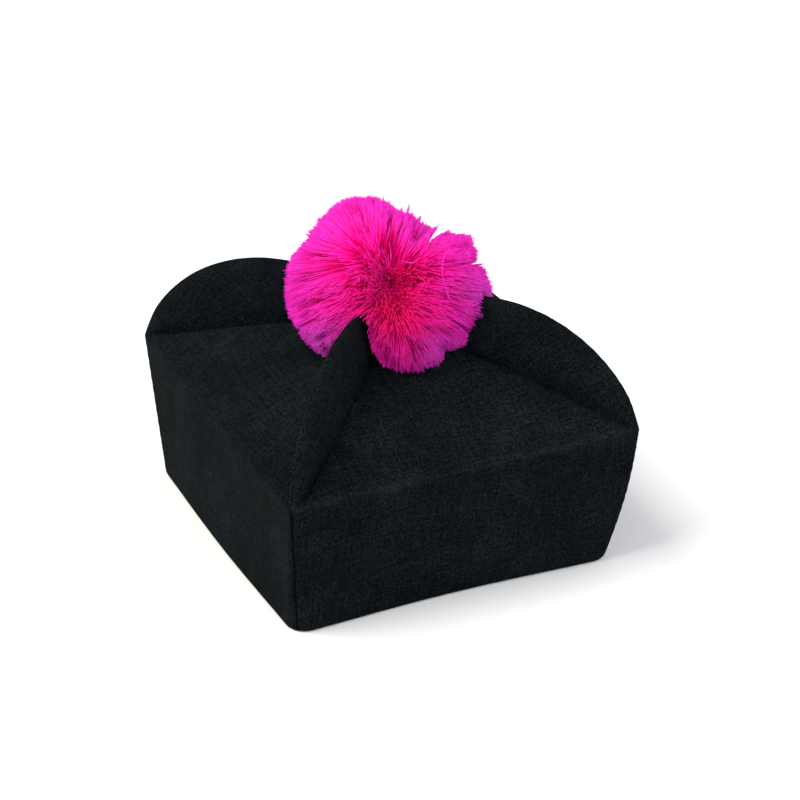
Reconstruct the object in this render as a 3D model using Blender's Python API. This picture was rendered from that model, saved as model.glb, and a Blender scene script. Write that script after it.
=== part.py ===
"""Square cloth cap with three horns and a pompom, standing on its rim.

Four cloth panels are seamed at the corners. Each panel is one wall, a quarter of the crown and
half of every horn at its ends. A pompom sits on the crown's middle, held by a thread tie.
Units are metres, +Z is up, and the origin is the middle of the lower rim on the surface below.
The walls face along X and Y, so that the horns stand on the diagonals.
"""
import math
import random

import bmesh
import bpy
from mathutils import Matrix, Vector

# Cap
CROWN_SIDE = 0.166           # outer side of the square at the fold between wall and crown
RIM_SIDE = 0.1535            # outer side of the square at the lower rim
WALL_HEIGHT = 0.068
CLOTH = 0.0015               # thickness of one layer
SEAM_GAP = 0.0003            # between two panels all along their seam
FOLD_CORNER = 0.002          # corner radius in plan at the fold
RIM_CORNER = 0.009           # corner radius in plan at the rim
FOLD_ROUNDING = 0.003        # how far the soft fold reaches down the wall
CREASE_ROUNDING = 0.0015     # softness of the crease at a horn's foot
HIP_ROUNDING = 0.006         # half width of the soft ridge at the corner without a horn
HIP_END = 0.4                # largest share of the way to the middle that this takes
RIM_SHIFT_X = -0.0015        # how far the soft walls let the rim lie off the crown's middle
RIM_SHIFT_Y = 0.0008
FRONT_HOLLOW = 0.0020        # how far the front wall's rim is drawn in at its middle
RIGHT_BELLY = 0.0020         # how far the right corner swells out at half height

# Crown and horns, heights above the fold
CROWN_RISE = 0.0335          # middle of the crown
CROWN_PUFF = 0.0020          # fullness of the crown between fold and middle
HORN_HEIGHT = 0.0517         # highest point of a horn
HORN_REACH = 0.0693          # from the corner to that point, along the diagonal
FRONT_LEAN = 0.0020          # how far the front horn leans over
FRONT_FOOT = 0.0070          # how far the foot of the front horn's right side stands out
FOOT_FLARE = 1.8             # how sharply that side flares out towards its foot
TIP_OPENING = 0.007          # square opening that the panels' tips leave for the tie

# Pompom and tie
POMPOM_WIDTH = 0.093
POMPOM_HEIGHT = 0.078
POMPOM_LIFT = 0.0479         # its centre above the fold
FACE_BEARING = -25           # its face, which the locks are combed away from: bearing from -Y
FACE_ELEVATION = 32          # towards +X and elevation, in degrees
FACE_LENGTH = 0.0390         # length of the locks at the face's middle
LOCK_DEPTH = 0.0055          # depth of the valleys between locks
LOCK_ROUNDING = 0.0022       # how far a lock's tip stands above its shoulder
LOCK_TAPER = 0.62            # width of a lock's shoulder as a share of its foot
LOCK_SWAY = 0.0012           # how far a lock's tip may lie off its own direction
LOCK_TURN = 17               # turns the pattern of locks off the cap's planes, in degrees
CLEARANCE = 0.0003           # between the pompom, the tie and what they touch
CROWN_LIFT = 0.0004          # the same, straight up from the sloping crown
HORN_LIFT = 0.0006           # the same, straight up from a horn's curved edge
TIE_RADIUS = 0.0016
TIE_REACH = 0.012            # length of the tie inside the pompom
KNOT_RADIUS = 0.006
KNOT_THICKNESS = 0.002

# Steps of the meshes
ARC_STEPS = 5                # from a seam to the foot of its horn
MIDDLE_STEPS = 8
WALL_STEPS = 5
RISE_STEPS = 8               # from a corner to a horn's highest point
FALL_STEPS = 4               # from there to the crown's middle
TIE_SIDES = 12
LOCK_SEED = 7

HALF = CROWN_SIDE / 2
ROOT2 = math.sqrt(2)
DIAGONAL = HALF * ROOT2      # from a corner of the fold to the crown's middle
SEAM = SEAM_GAP / 2          # from the seam's plane to a panel
FACE = SEAM + CLOTH          # from the seam's plane to a horn's visible face

# One row for each seam, named after its corner; the back one has no horn
SEAMS = {
    "front": {"horn": True, "lean": FRONT_LEAN, "belly": 0.0, "turn": 0},
    "right": {"horn": True, "lean": 0.0, "belly": RIGHT_BELLY, "turn": 90},
    "back": {"horn": False, "lean": 0.0, "belly": 0.0, "turn": 180},
    "left": {"horn": True, "lean": 0.0, "belly": 0.0, "turn": 270},
}
# One row for each panel; turn is about +Z from the panel that faces -Y, and foot is how far its
# left horn's side stands out at its foot
PANELS = (
    {"name": "panel_front", "turn": 0, "left": "front", "right": "right",
     "hollow": FRONT_HOLLOW, "foot": FRONT_FOOT},
    {"name": "panel_right", "turn": 90, "left": "right", "right": "back",
     "hollow": 0.0, "foot": 0.0},
    {"name": "panel_back", "turn": 180, "left": "back", "right": "left",
     "hollow": 0.0, "foot": 0.0},
    {"name": "panel_left", "turn": 270, "left": "left", "right": "front",
     "hollow": 0.0, "foot": 0.0},
)
CORNERS = ((-1, -1), (1, -1), (1, 1), (-1, 1))
# A horn's section from its seam down to its foot: share of its height, and steps in cloth layers
HORN_SECTION = (
    {"up": 1.00, "drop": 0.0, "in": 0.6},
    {"up": 1.00, "drop": 1.0, "in": 0.0},
    {"up": 0.70, "drop": 0.0, "in": 0.0},
    {"up": 0.36, "drop": 0.0, "in": 0.0},
)
# Length of the locks round the pompom's face as a share of half its width; turn is counted from
# the face's right through its top, in degrees
TRIM = (
    {"turn": 0, "share": 0.963},
    {"turn": 15, "share": 0.885},
    {"turn": 32, "share": 0.893},
    {"turn": 44, "share": 0.715},
    {"turn": 60, "share": 0.652},
    {"turn": 80, "share": 0.731},
    {"turn": 98, "share": 0.851},
    {"turn": 117, "share": 0.922},
    {"turn": 137, "share": 0.912},
    {"turn": 150, "share": 0.889},
    {"turn": 163, "share": 0.964},
    {"turn": 180, "share": 0.990},
    {"turn": 205, "share": 0.955},
    {"turn": 226, "share": 0.922},
    {"turn": 250, "share": 0.774},
    {"turn": 264, "share": 0.745},
    {"turn": 280, "share": 0.813},
    {"turn": 297, "share": 0.866},
    {"turn": 320, "share": 0.876},
    {"turn": 345, "share": 0.903},
    {"turn": 360, "share": 0.963},
)
# Hollows of the pompom: bearing and elevation in degrees, share of its length that is taken
# away, and how wide each one is in degrees
HOLLOWS = (
    {"bearing": -12, "elevation": 29, "share": 0.36, "width": 24},
    {"bearing": -31, "elevation": -14, "share": 0.30, "width": 12},
)


def clear_scene():
    for item in list(bpy.data.objects):
        bpy.data.objects.remove(item, do_unlink=True)


def material(name, colour, roughness):
    made = bpy.data.materials.new(name)
    made.use_nodes = True
    shader = made.node_tree.nodes["Principled BSDF"]
    shader.inputs["Base Color"].default_value = (*colour, 1.0)
    shader.inputs["Roughness"].default_value = roughness
    shader.inputs["Metallic"].default_value = 0.0
    return made


def add_object(name, body, finish=None, turn=0.0, sharp=35):
    """Makes a mesh object of a bmesh, turned about +Z by a number of degrees."""
    mesh = bpy.data.meshes.new(name)
    body.to_mesh(mesh)
    body.free()
    mesh.shade_smooth()
    mesh.set_sharp_from_angle(angle=math.radians(sharp))
    if finish is not None:
        mesh.materials.append(finish)
    made = bpy.data.objects.new(name, mesh)
    made.rotation_euler.z = math.radians(turn)
    bpy.context.scene.collection.objects.link(made)
    return made


def add_cutter(name, body, turn=0.0):
    made = add_object(name, body, turn=turn)
    made.hide_render = True
    made.display_type = "WIRE"
    return made


def smooth(share):
    share = min(max(share, 0.0), 1.0)
    return share * share * (3 - 2 * share)


def mix(low, high, share):
    return low + (high - low) * share


def crown_height(inset):
    """Height of the crown above the fold, at a distance in from the fold."""
    share = inset / HALF
    return CROWN_RISE * share + CROWN_PUFF * math.sin(math.pi * min(share, 1.0))


def horn_radius():
    """Radius of the arc from a corner of the fold up to the horn's highest point."""
    return (HORN_REACH ** 2 + HORN_HEIGHT ** 2) / (2 * HORN_HEIGHT)


def horn_height(reach):
    """Height of a horn above the fold: an arc up to its top, then a parabola to the middle."""
    if reach <= HORN_REACH:
        radius = horn_radius()
        return HORN_HEIGHT - radius + math.sqrt(max(radius ** 2 - (HORN_REACH - reach) ** 2, 0.0))
    share = (reach - HORN_REACH) / (DIAGONAL - HORN_REACH)
    return HORN_HEIGHT - (HORN_HEIGHT - CROWN_RISE) * share ** 2


def horn_stand(reach):
    """Height of a horn above its foot on the crown."""
    return max(horn_height(reach) - crown_height(reach / ROOT2), 0.0)


def lean_shift(lean, reach, height):
    """Sideways shift of a horn's point, from none at its foot to the full lean at its top."""
    along = math.sin(math.pi * min(max(reach / DIAGONAL, 0.0), 1.0))
    above = height - WALL_HEIGHT - crown_height(reach / ROOT2)
    share = min(max(above / max(horn_stand(reach), CLOTH), 0.0), 1.0)
    return lean * share * math.sqrt(max(along, 0.0))


def wall_section(level):
    """Rounded corner of the wall, from the seam to where the wall runs straight.

    Each point gives its distance in from the corner along the diagonal, its distance off the
    seam's plane and its height. The level runs from 0 at the rim to 1 at the fold.
    """
    radius = mix(RIM_CORNER, FOLD_CORNER, level)
    start = (CROWN_SIDE - mix(RIM_SIDE, CROWN_SIDE, level)) / ROOT2
    points = []
    for step in range(ARC_STEPS + 1):
        angle = math.pi / 4 * step / ARC_STEPS
        off = max(radius * math.sin(angle), SEAM)
        points.append((start + radius * (ROOT2 - math.cos(angle)), off, WALL_HEIGHT * level))
    return points


def foot_spread(foot, reach):
    """How far the foot of a horn's side stands out, at a distance from the corner."""
    share = min(max(reach / DIAGONAL, 0.0), 1.0)
    return foot * math.sin(math.pi * share) ** 0.8


def horn_profile(reach, foot=0.0):
    """Distances off the seam's plane and heights above the crown, from a horn's top to its foot."""
    stand = horn_stand(reach)
    edge = min(CLOTH, stand / 4)
    soft = min(CREASE_ROUNDING, stand / 4)
    profile = []
    for row in HORN_SECTION:
        profile.append((FACE - row["in"] * CLOTH, row["up"] * stand - row["drop"] * edge))
    profile.append((FACE, soft))
    profile.append((FACE + soft, 0.0))
    if foot > 0.0:
        spread = foot_spread(foot, reach)
        flares = [(1 - up / max(stand, CLOTH)) ** FOOT_FLARE for _, up in profile]
        profile = [(off + spread * flare, up) for (off, up), flare in zip(profile, flares)]
    return profile


def hip_profile(reach):
    """The same for the corner without a horn: a softly rounded ridge."""
    width = min(HIP_ROUNDING, HIP_END * (DIAGONAL - reach), max(reach / 2, SEAM_GAP))
    slope = CROWN_RISE / DIAGONAL
    profile = []
    for step in range(ARC_STEPS + 1):
        share = step / ARC_STEPS
        profile.append((mix(SEAM, width, share), -slope * width / 2 * (1 - share) ** 2))
    return profile


def crown_section(reach, horn, foot=0.0):
    """A seam's end of one crown row, blended into the rounded corner near the fold."""
    profile = horn_profile(reach, foot) if horn else hip_profile(reach)
    blend = smooth(reach / (2 * FOLD_CORNER))
    # The fold's own row is drawn in to the middle of the fold's rounding
    drawn_in = FOLD_ROUNDING / 4 if reach == 0.0 else 0.0
    points = []
    for step, (off, up) in enumerate(profile):
        angle = math.pi / 4 * step / ARC_STEPS
        along = mix(reach + FOLD_CORNER * (ROOT2 - math.cos(angle)), reach, blend)
        off = max(mix(FOLD_CORNER * math.sin(angle), off, blend), SEAM)
        inset = max(along - off, 0.0) / ROOT2
        settle = drawn_in * step / ARC_STEPS
        base = WALL_HEIGHT + crown_height(inset) - settle / 2
        points.append((along + settle / ROOT2, off - settle / ROOT2, base + up))
    return points


def crown_reaches():
    """Distances from the corner of all crown rows, close together where the horn is steep."""
    radius = horn_radius()
    start = math.acos(min(HORN_REACH / radius, 1.0))
    reaches = [0.0]
    for step in range(1, RISE_STEPS + 1):
        angle = mix(start, math.pi / 2, step / RISE_STEPS)
        reaches.append(HORN_REACH - radius * math.cos(angle))
    end = DIAGONAL - TIP_OPENING / ROOT2
    for step in range(1, FALL_STEPS + 1):
        reaches.append(mix(HORN_REACH, end, step / FALL_STEPS))
    return reaches


def place(side, along, off, height):
    """Point of the panel that faces -Y; side is -1 at its left corner and 1 at its right."""
    return Vector((side * (HALF - (along + off) / ROOT2), (along - off) / ROOT2 - HALF, height))


def panel_row(left, right):
    """Points of one row across the panel, from seam to seam."""
    start = [place(-1, *point) for point in left]
    end = [place(1, *point) for point in reversed(right)]
    middle = [start[-1].lerp(end[0], step / MIDDLE_STEPS) for step in range(1, MIDDLE_STEPS)]
    return start + middle + end


def panel_rows(left, right, foot):
    """All rows of a panel's outer face, from the rim over the fold to the crown's middle."""
    rows = []
    top_level = 1 - FOLD_ROUNDING / WALL_HEIGHT
    for step in range(WALL_STEPS + 1):
        section = wall_section(top_level * step / WALL_STEPS)
        rows.append(panel_row(section, section))
    for reach in crown_reaches():
        start = crown_section(reach, left["horn"], foot)
        rows.append(panel_row(start, crown_section(reach, right["horn"])))
    return rows


def add_sheet(body, rows):
    """Faces between neighbouring rows of points."""
    grid = [[body.verts.new(point) for point in row] for row in rows]
    for below, above in zip(grid, grid[1:]):
        for near in range(len(below) - 1):
            body.faces.new((below[near], below[near + 1], above[near + 1], above[near]))


def off_seam(point, side):
    """Distance of a point off the plane of the panel's left or right seam."""
    return (-side * point.x - point.y) / ROOT2


def away(side):
    """Direction off that plane, into the panel."""
    return Vector((-side, -1, 0)) / ROOT2


def thicken(body):
    """Gives the sheet its inner face, mitred at both seams and level at the rim."""
    body.normal_update()
    inward = body.verts.layers.float_vector.new("inward")
    for vert in body.verts:
        vert[inward] = -vert.normal * CLOTH * vert.calc_shell_factor()
    result = bmesh.ops.extrude_face_region(body, geom=body.faces[:], use_keep_orig=True)
    for vert in (item for item in result["geom"] if isinstance(item, bmesh.types.BMVert)):
        at_rim = vert.co.z < SEAM
        vert.co += Vector(vert[inward])
        vert.co.z = 0.0 if at_rim else vert.co.z
        for side in (-1, 1):
            vert.co += away(side) * max(SEAM - off_seam(vert.co, side), 0.0)


def lean_over(body, lean, side):
    """Leans the horn at the panel's left or right seam; a lean is towards its left neighbour."""
    for vert in body.verts:
        reach = DIAGONAL - abs(side * vert.co.x - vert.co.y) / ROOT2
        vert.co += away(side) * side * lean_shift(lean, reach, vert.co.z)


def settle_wall(body, panel):
    """Lets the wall stand as soft cloth does: rim off the middle, wall drawn in, corner swollen."""
    shift = Vector((RIM_SHIFT_X, RIM_SHIFT_Y, 0))
    shift.rotate(Matrix.Rotation(math.radians(-panel["turn"]), 3, "Z"))
    for vert in body.verts:
        low = min(max(1 - vert.co.z / WALL_HEIGHT, 0.0), 1.0)
        across = vert.co.x / HALF
        vert.co += shift * low
        vert.co.y += panel["hollow"] * low * max(1 - across ** 2, 0.0) ** 2
        for side, seam in ((-1, panel["left"]), (1, panel["right"])):
            swell = SEAMS[seam]["belly"] * math.sin(math.pi * low)
            near = smooth((side * across + 1) / 2) ** 2
            vert.co += Vector((side, -1, 0)) / ROOT2 * swell * near


def make_panel(panel, finish):
    left, right = SEAMS[panel["left"]], SEAMS[panel["right"]]
    body = bmesh.new()
    add_sheet(body, panel_rows(left, right, panel["foot"]))
    thicken(body)
    lean_over(body, left["lean"], -1)
    lean_over(body, right["lean"], 1)
    settle_wall(body, panel)
    bmesh.ops.recalc_face_normals(body, faces=body.faces)
    return add_object(panel["name"], body, finish, panel["turn"])


def bearing_direction(bearing, elevation):
    """Unit direction from a bearing from -Y towards +X and an elevation, in degrees."""
    turn, lift = math.radians(bearing), math.radians(elevation)
    level = math.cos(lift)
    return Vector((math.sin(turn) * level, -math.cos(turn) * level, math.sin(lift)))


def round_face(direction):
    """Turn round the pompom's face and angle away from its middle, in degrees."""
    front = bearing_direction(FACE_BEARING, FACE_ELEVATION)
    up = (Vector((0, 0, 1)) - front.z * front).normalized()
    right = up.cross(front)
    turn = math.degrees(math.atan2(direction.dot(up), direction.dot(right))) % 360
    return turn, math.degrees(direction.angle(front))


def trimmed(turn):
    """Length of the locks at a turn round the face."""
    half = POMPOM_WIDTH / 2
    for before, after in zip(TRIM, TRIM[1:]):
        if turn <= after["turn"]:
            way = (turn - before["turn"]) / (after["turn"] - before["turn"])
            return half * mix(before["share"], after["share"], way)
    return half * TRIM[-1]["share"]


def pompom_radius(direction):
    """Length of the locks in a direction: trimmed round the face, a flattened ball behind it."""
    turn, polar = round_face(direction)
    wide = direction.xy.length / (POMPOM_WIDTH / 2)
    tall = direction.z / (POMPOM_HEIGHT / 2)
    length = mix(FACE_LENGTH, trimmed(turn), smooth(polar / 72))
    length = mix(length, 1 / math.hypot(wide, tall), smooth((polar - 92) / 50))
    for row in HOLLOWS:
        middle = bearing_direction(row["bearing"], row["elevation"])
        angle = math.degrees(direction.angle(middle))
        length *= 1 - row["share"] * math.exp(-(angle / row["width"]) ** 2)
    return length


def lock_rings():
    """The direction of each lock and of the corners round its foot."""
    ball = bmesh.new()
    off_planes = Matrix.Rotation(math.radians(LOCK_TURN), 4, Vector((1, 2, 3)))
    bmesh.ops.create_icosphere(ball, subdivisions=3, radius=1.0, matrix=off_planes)
    ball.verts.index_update()
    ball.faces.index_update()
    corners = [face.calc_center_median().normalized() for face in ball.faces]
    rings = []
    for vert in ball.verts:
        centre = vert.co.normalized()
        first = (corners[vert.link_faces[0].index] - centre).cross(centre).normalized()
        second = centre.cross(first)
        around = []
        for face in vert.link_faces:
            out = corners[face.index] - centre
            around.append((math.atan2(out.dot(second), out.dot(first)), face.index))
        rings.append((centre, [index for _, index in sorted(around)]))
    ball.free()
    return corners, rings


def valley_radii(corners, rings):
    """Radius of each valley's corner, under the shortest of the locks that meet there."""
    shortest = [pompom_radius(corner) for corner in corners]
    for centre, ring in rings:
        for index in ring:
            shortest[index] = min(shortest[index], pompom_radius(centre))
    return [radius - LOCK_DEPTH for radius in shortest]


def add_lock(body, centre, foot, sway):
    """One lock: a tapering prism from the foot ring to a blunt tip."""
    length = pompom_radius(centre)
    shift = centre.cross(Vector(sway)) * LOCK_SWAY
    shoulder = []
    for vert in foot:
        out = centre.lerp(vert.co.normalized(), LOCK_TAPER).normalized()
        shoulder.append(body.verts.new(out * (length - LOCK_ROUNDING) + shift))
    tip = body.verts.new(centre * length + shift)
    for near in range(len(foot)):
        far = (near + 1) % len(foot)
        body.faces.new((foot[near], foot[far], shoulder[far], shoulder[near]))
        body.faces.new((shoulder[near], shoulder[far], tip))


def pompom_centre():
    return Vector((0, 0, WALL_HEIGHT + POMPOM_LIFT))


def make_pompom_body():
    """Closed ball of locks about the pompom's centre."""
    source = random.Random(LOCK_SEED)
    corners, rings = lock_rings()
    body = bmesh.new()
    radii = valley_radii(corners, rings)
    feet = [body.verts.new(corner * radius) for corner, radius in zip(corners, radii)]
    for centre, ring in rings:
        sway = [source.uniform(-1, 1) for _ in range(3)]
        add_lock(body, centre, [feet[index] for index in ring], sway)
    bmesh.ops.translate(body, verts=body.verts, vec=pompom_centre())
    bmesh.ops.recalc_face_normals(body, faces=body.faces)
    return body


def close_ends(body):
    """Caps the open ends of a lofted body."""
    edges = [edge for edge in body.edges if edge.is_boundary]
    bmesh.ops.holes_fill(body, edges=edges)
    bmesh.ops.recalc_face_normals(body, faces=body.faces)


def half_room(reach, foot):
    """Outline of one side of a horn with the clearance round it, down into the crown."""
    half = []
    for off, up in horn_profile(reach, foot):
        base = WALL_HEIGHT + crown_height(max(reach - off, 0.0) / ROOT2)
        half.append((off + CLEARANCE, base + up + HORN_LIFT))
    return half + [(half[-1][0], WALL_HEIGHT)]


def horn_room(reach, lean, foot):
    """Closed outline across one horn with the clearance round it; foot is for its right side."""
    right, left = half_room(reach, foot), half_room(reach, 0.0)
    outline = list(reversed(right)) + [(-off, height) for off, height in left]
    middle = (reach - DIAGONAL) / ROOT2
    row = []
    for off, height in outline:
        across = (off - lean_shift(lean, reach, height)) / ROOT2
        row.append(Vector((middle + across, middle - across, height)))
    return row + row[:1]


def horn_cutter(name, lean, foot, turn):
    """Room for the part of a horn that the pompom can reach."""
    body = bmesh.new()
    reaches = crown_reaches()[2:]
    reaches.append(reaches[-1] + 2 * CLEARANCE)
    add_sheet(body, [horn_room(reach, lean, foot) for reach in reaches])
    bmesh.ops.remove_doubles(body, verts=body.verts, dist=CLEARANCE / 100)
    close_ends(body)
    return add_cutter(name, body, turn)


def crown_cutter():
    """Room for the crown: its low pyramid with the clearance above it."""
    rows = []
    for reach in crown_reaches() + [DIAGONAL - CLEARANCE]:
        half = (DIAGONAL - reach) / ROOT2
        height = WALL_HEIGHT + crown_height(reach / ROOT2) + CROWN_LIFT
        square = [Vector((half * x, half * y, height)) for x, y in CORNERS]
        rows.append(square + square[:1])
    base = [Vector((point.x, point.y, WALL_HEIGHT / 2)) for point in rows[0]]
    body = bmesh.new()
    add_sheet(body, [base] + rows)
    bmesh.ops.remove_doubles(body, verts=body.verts, dist=CLEARANCE / 100)
    close_ends(body)
    return add_cutter("crown_cutter", body)


def turned_body(profile):
    """Closed body turned about +Z from (radius, height) points that start and end on the axis."""
    body = bmesh.new()
    points = [body.verts.new((radius, 0, height)) for radius, height in profile]
    edges = [body.edges.new(pair) for pair in zip(points, points[1:])]
    bmesh.ops.spin(body, geom=points + edges, cent=(0, 0, 0), axis=(0, 0, 1),
                   angle=2 * math.pi, steps=TIE_SIDES, use_merge=True)
    bmesh.ops.remove_doubles(body, verts=body.verts, dist=CLEARANCE / 100)
    bmesh.ops.recalc_face_normals(body, faces=body.faces)
    return body


def under_crown(radius):
    """Height of a cone that keeps the clearance under the crown's inner face."""
    slope = CROWN_RISE / HALF
    drop = CLOTH * math.hypot(1, slope) + 2 * CLEARANCE
    return WALL_HEIGHT + crown_height(HALF - radius) - drop


def tie_top():
    return WALL_HEIGHT + CROWN_RISE + TIE_REACH


def make_tie(finish):
    """Thread shank through the panels' tips, with a flat knot under the crown."""
    rim = under_crown(KNOT_RADIUS)
    profile = [(0, rim - KNOT_THICKNESS), (KNOT_RADIUS, rim - KNOT_THICKNESS), (KNOT_RADIUS, rim),
               (TIE_RADIUS, under_crown(TIE_RADIUS)), (TIE_RADIUS, tie_top()), (0, tie_top())]
    return add_object("pompom_tie", turned_body(profile), finish)


def tie_cutter():
    """Blind pocket for the tie in the pompom."""
    radius = TIE_RADIUS + CLEARANCE
    top = tie_top() + CLEARANCE
    profile = [(0, WALL_HEIGHT), (radius, WALL_HEIGHT), (radius, top), (0, top)]
    return add_cutter("tie_cutter", turned_body(profile))


def make_pompom(finish):
    """Ball of locks seated over the horns and the crown's middle."""
    pompom = add_object("pompom", make_pompom_body(), finish)
    cutters = [crown_cutter(), tie_cutter()]
    for name, seam in SEAMS.items():
        if seam["horn"]:
            foot = FRONT_FOOT if name == "front" else 0.0
            cutters.append(horn_cutter(name + "_horn_cutter", seam["lean"], foot, seam["turn"]))
    for cutter in cutters:
        cut = pompom.modifiers.new(cutter.name, "BOOLEAN")
        cut.operation = "DIFFERENCE"
        cut.solver = "EXACT"
        cut.object = cutter
    return pompom


def main():
    clear_scene()
    cap = bpy.data.objects.new("cap", None)
    bpy.context.scene.collection.objects.link(cap)
    cloth = material("black_cloth", (0.010, 0.012, 0.013), 0.92)
    pieces = [make_panel(panel, cloth) for panel in PANELS]
    pieces.append(make_pompom(material("magenta_fibre", (0.72, 0.015, 0.33), 0.75)))
    pieces.append(make_tie(material("black_thread", (0.012, 0.012, 0.014), 0.80)))
    for piece in pieces:
        piece.parent = cap


main()
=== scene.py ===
"""Looks of a square black cloth cap with three horns and a magenta pompom.

Four sewn cloth panels, a pompom of cut fibres, the thread that holds it, a pale floor, soft
studio light and a camera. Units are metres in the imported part's frame, with +Z up.
"""
import math

import bpy
import numpy as np
from bpy.props import FloatProperty, FloatVectorProperty, IntProperty, PointerProperty
from mathutils import Matrix, Vector


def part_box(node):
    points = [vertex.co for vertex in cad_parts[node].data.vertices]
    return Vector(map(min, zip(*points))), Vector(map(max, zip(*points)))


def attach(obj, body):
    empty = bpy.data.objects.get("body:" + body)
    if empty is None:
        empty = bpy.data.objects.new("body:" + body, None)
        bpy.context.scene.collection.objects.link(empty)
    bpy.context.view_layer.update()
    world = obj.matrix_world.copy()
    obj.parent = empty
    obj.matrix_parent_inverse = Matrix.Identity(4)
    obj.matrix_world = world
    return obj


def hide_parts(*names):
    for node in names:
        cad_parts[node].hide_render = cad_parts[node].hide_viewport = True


bl_info = {
    "name": "Square Cap with Pompom",
    "version": (1, 0, 0),
    "blender": (4, 5, 0),
    "location": "3D View > Sidebar > Square Cap",
    "description": "Sews the cloth panels, ties the pompom and sets the stage",
    "category": "Object",
}

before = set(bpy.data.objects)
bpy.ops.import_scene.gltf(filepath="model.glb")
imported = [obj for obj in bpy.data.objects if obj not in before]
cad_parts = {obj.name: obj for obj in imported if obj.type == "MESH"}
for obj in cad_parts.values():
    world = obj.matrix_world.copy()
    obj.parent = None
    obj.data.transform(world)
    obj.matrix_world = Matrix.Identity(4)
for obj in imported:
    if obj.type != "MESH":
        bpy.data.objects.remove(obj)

ROOT2 = math.sqrt(2)
MM = 0.001
TINY = 1e-6


def table(columns, *rows):
    """Rows of a table, each with its values under the named columns."""
    return tuple(dict(zip(columns.split(), row)) for row in rows)


# Corner seams: whether one has a horn, how far that leans, how far the wall swells out by it
# and how far the soft corner of the crown sags
SEAMS = {row["seam"]: row for row in table(
    "seam horn lean belly sag",
    ("front", True, 2.0 * MM, 0.0, 0.0),
    ("right", True, -1.2 * MM, 2.0 * MM, 0.0),
    ("back", False, 0.0, 0.0, 3.2 * MM),
    ("left", True, 0.0, 0.0, 0.0))}
# Panels: turn about +Z in degrees, both seams, how far the rim is drawn in, how far the foot of
# the left horn stands out, the place of the slow waves in the cloth, and the strength of the
# painted highlight and wear along the fold
PANELS = table(
    "node turn left right hollow foot waves worn",
    ("panel_front", 0, "front", "right", 2.7 * MM, 1.2 * MM, 0.3, 1.0),
    ("panel_right", 90, "right", "back", 0.0, 0.0, 1.9, 0.4),
    ("panel_back", 180, "back", "left", 0.0, 0.0, 3.1, 0.4),
    ("panel_left", 270, "left", "front", -1.6 * MM, 0.0, 4.4, 0.06))
# Soft dents and swellings: across as a share of half the crown's side, up as a share of the
# wall's height (above 1 on the crown), width and how far the cloth stands out, in metres
DENTS = table(
    "node across up width out",
    ("panel_front", -0.86, 0.16, 0.020, 0.0009),
    ("panel_front", -0.25, 0.55, 0.034, -0.0010),
    ("panel_front", 0.55, 0.40, 0.030, 0.0008),
    ("panel_front", 0.15, 1.45, 0.030, 0.0007),
    ("panel_right", -0.30, 0.50, 0.036, -0.0009),
    ("panel_right", 0.45, 0.35, 0.030, 0.0008),
    ("panel_back", 0.20, 0.50, 0.036, -0.0010),
    ("panel_back", -0.55, 0.60, 0.028, 0.0007),
    ("panel_left", 0.35, 0.45, 0.034, -0.0009),
    ("panel_left", -0.45, 0.55, 0.032, 0.0010),
    ("panel_left", 0.10, 1.40, 0.026, -0.0006))
# Slow waves: angle in radians over half the side and over the wall's height, height as a share
# and how the panel's own place shifts them. The first one crosses itself.
FIRST_WAVE = {"across": 3.1, "up": 2.3, "phase": 2}
WAVES = table("across up share phase", (5.3, -3.7, 0.6, 1.7), (8.9, 6.1, 0.35, -1))
# How sharply a horn's sloping side flares out down to its foot, and how evenly along its foot
FOOT_FLARE, FOOT_FULLNESS = 1.8, 0.8
# Where a horn's side swells out most: above 1 this lies nearer its foot
BELLY_DROP = 1.6
# A low horn's rounded edge and its crease each take no more than one part in 4 of its height, and
# its belly no more than one in 12
EDGE_PARTS, BELLY_PARTS = 4, 12
# In corner radii of the fold: a crown row's least side, and the way in from the corner over which
# the rows turn from the wall's plan to their own
CROWN_TURN = 4
# How far rows and columns crowd together towards the fold and the seams
ROW_CROWDING, COLUMN_CROWDING = 0.12, 0.13
# Share of the fold's rounding at a seam, and from where and over what distance it grows whole
FOLD_AT_SEAM, FOLD_START, FOLD_SPAN = 0.12, 0.0012, 0.009
# Shares of the pressed edge's height by which it stands out of the wall and up off the crown
PINCH_OUT, PINCH_UP = 0.8, 0.6
# Half width of the groove along a horn's foot, over what distance it fades at its ends and how
# much softer it is where the foot stands out
GROOVE_WIDTH = 0.0012
CREASE_START, CREASE_END = 0.022, 0.030
CREASE_SOFTENING = 0.75
# Largest share of the way to the middle that the soft ridge without a horn takes
HIP_END = 0.4
# How far a sagging corner draws in for each part that it sinks
SAG_INWARD = 0.7
# Soft relief: its share at a seam and how far from there it is whole, how far up a horn and how
# much it fades, and how far above the rim it is whole
RELIEF_AT_SEAM, RELIEF_OFF_SEAM = 0.25, 0.020
RELIEF_UP_HORN, RELIEF_FADE, RELIEF_OFF_RIM = 0.006, 0.5, 0.010
# Half height of the change from a wall's seam to a horn's, and the pull there as a share
SEAM_TURN, SEAM_PULL_TOP = 0.002, 0.6
# Puckers: how they slant, the height, pace and phase of the finer ones among them, and how far
# from the seam they start and fade and how far off the fold
PUCKER_SLANT = 0.3
FINE_PUCKER = {"share": 0.5, "pace": 1.7, "phase": 1.0}
PUCKER_START, PUCKER_FADE, PUCKER_OFF_FOLD = 0.0015, 0.006, 0.006

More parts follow.
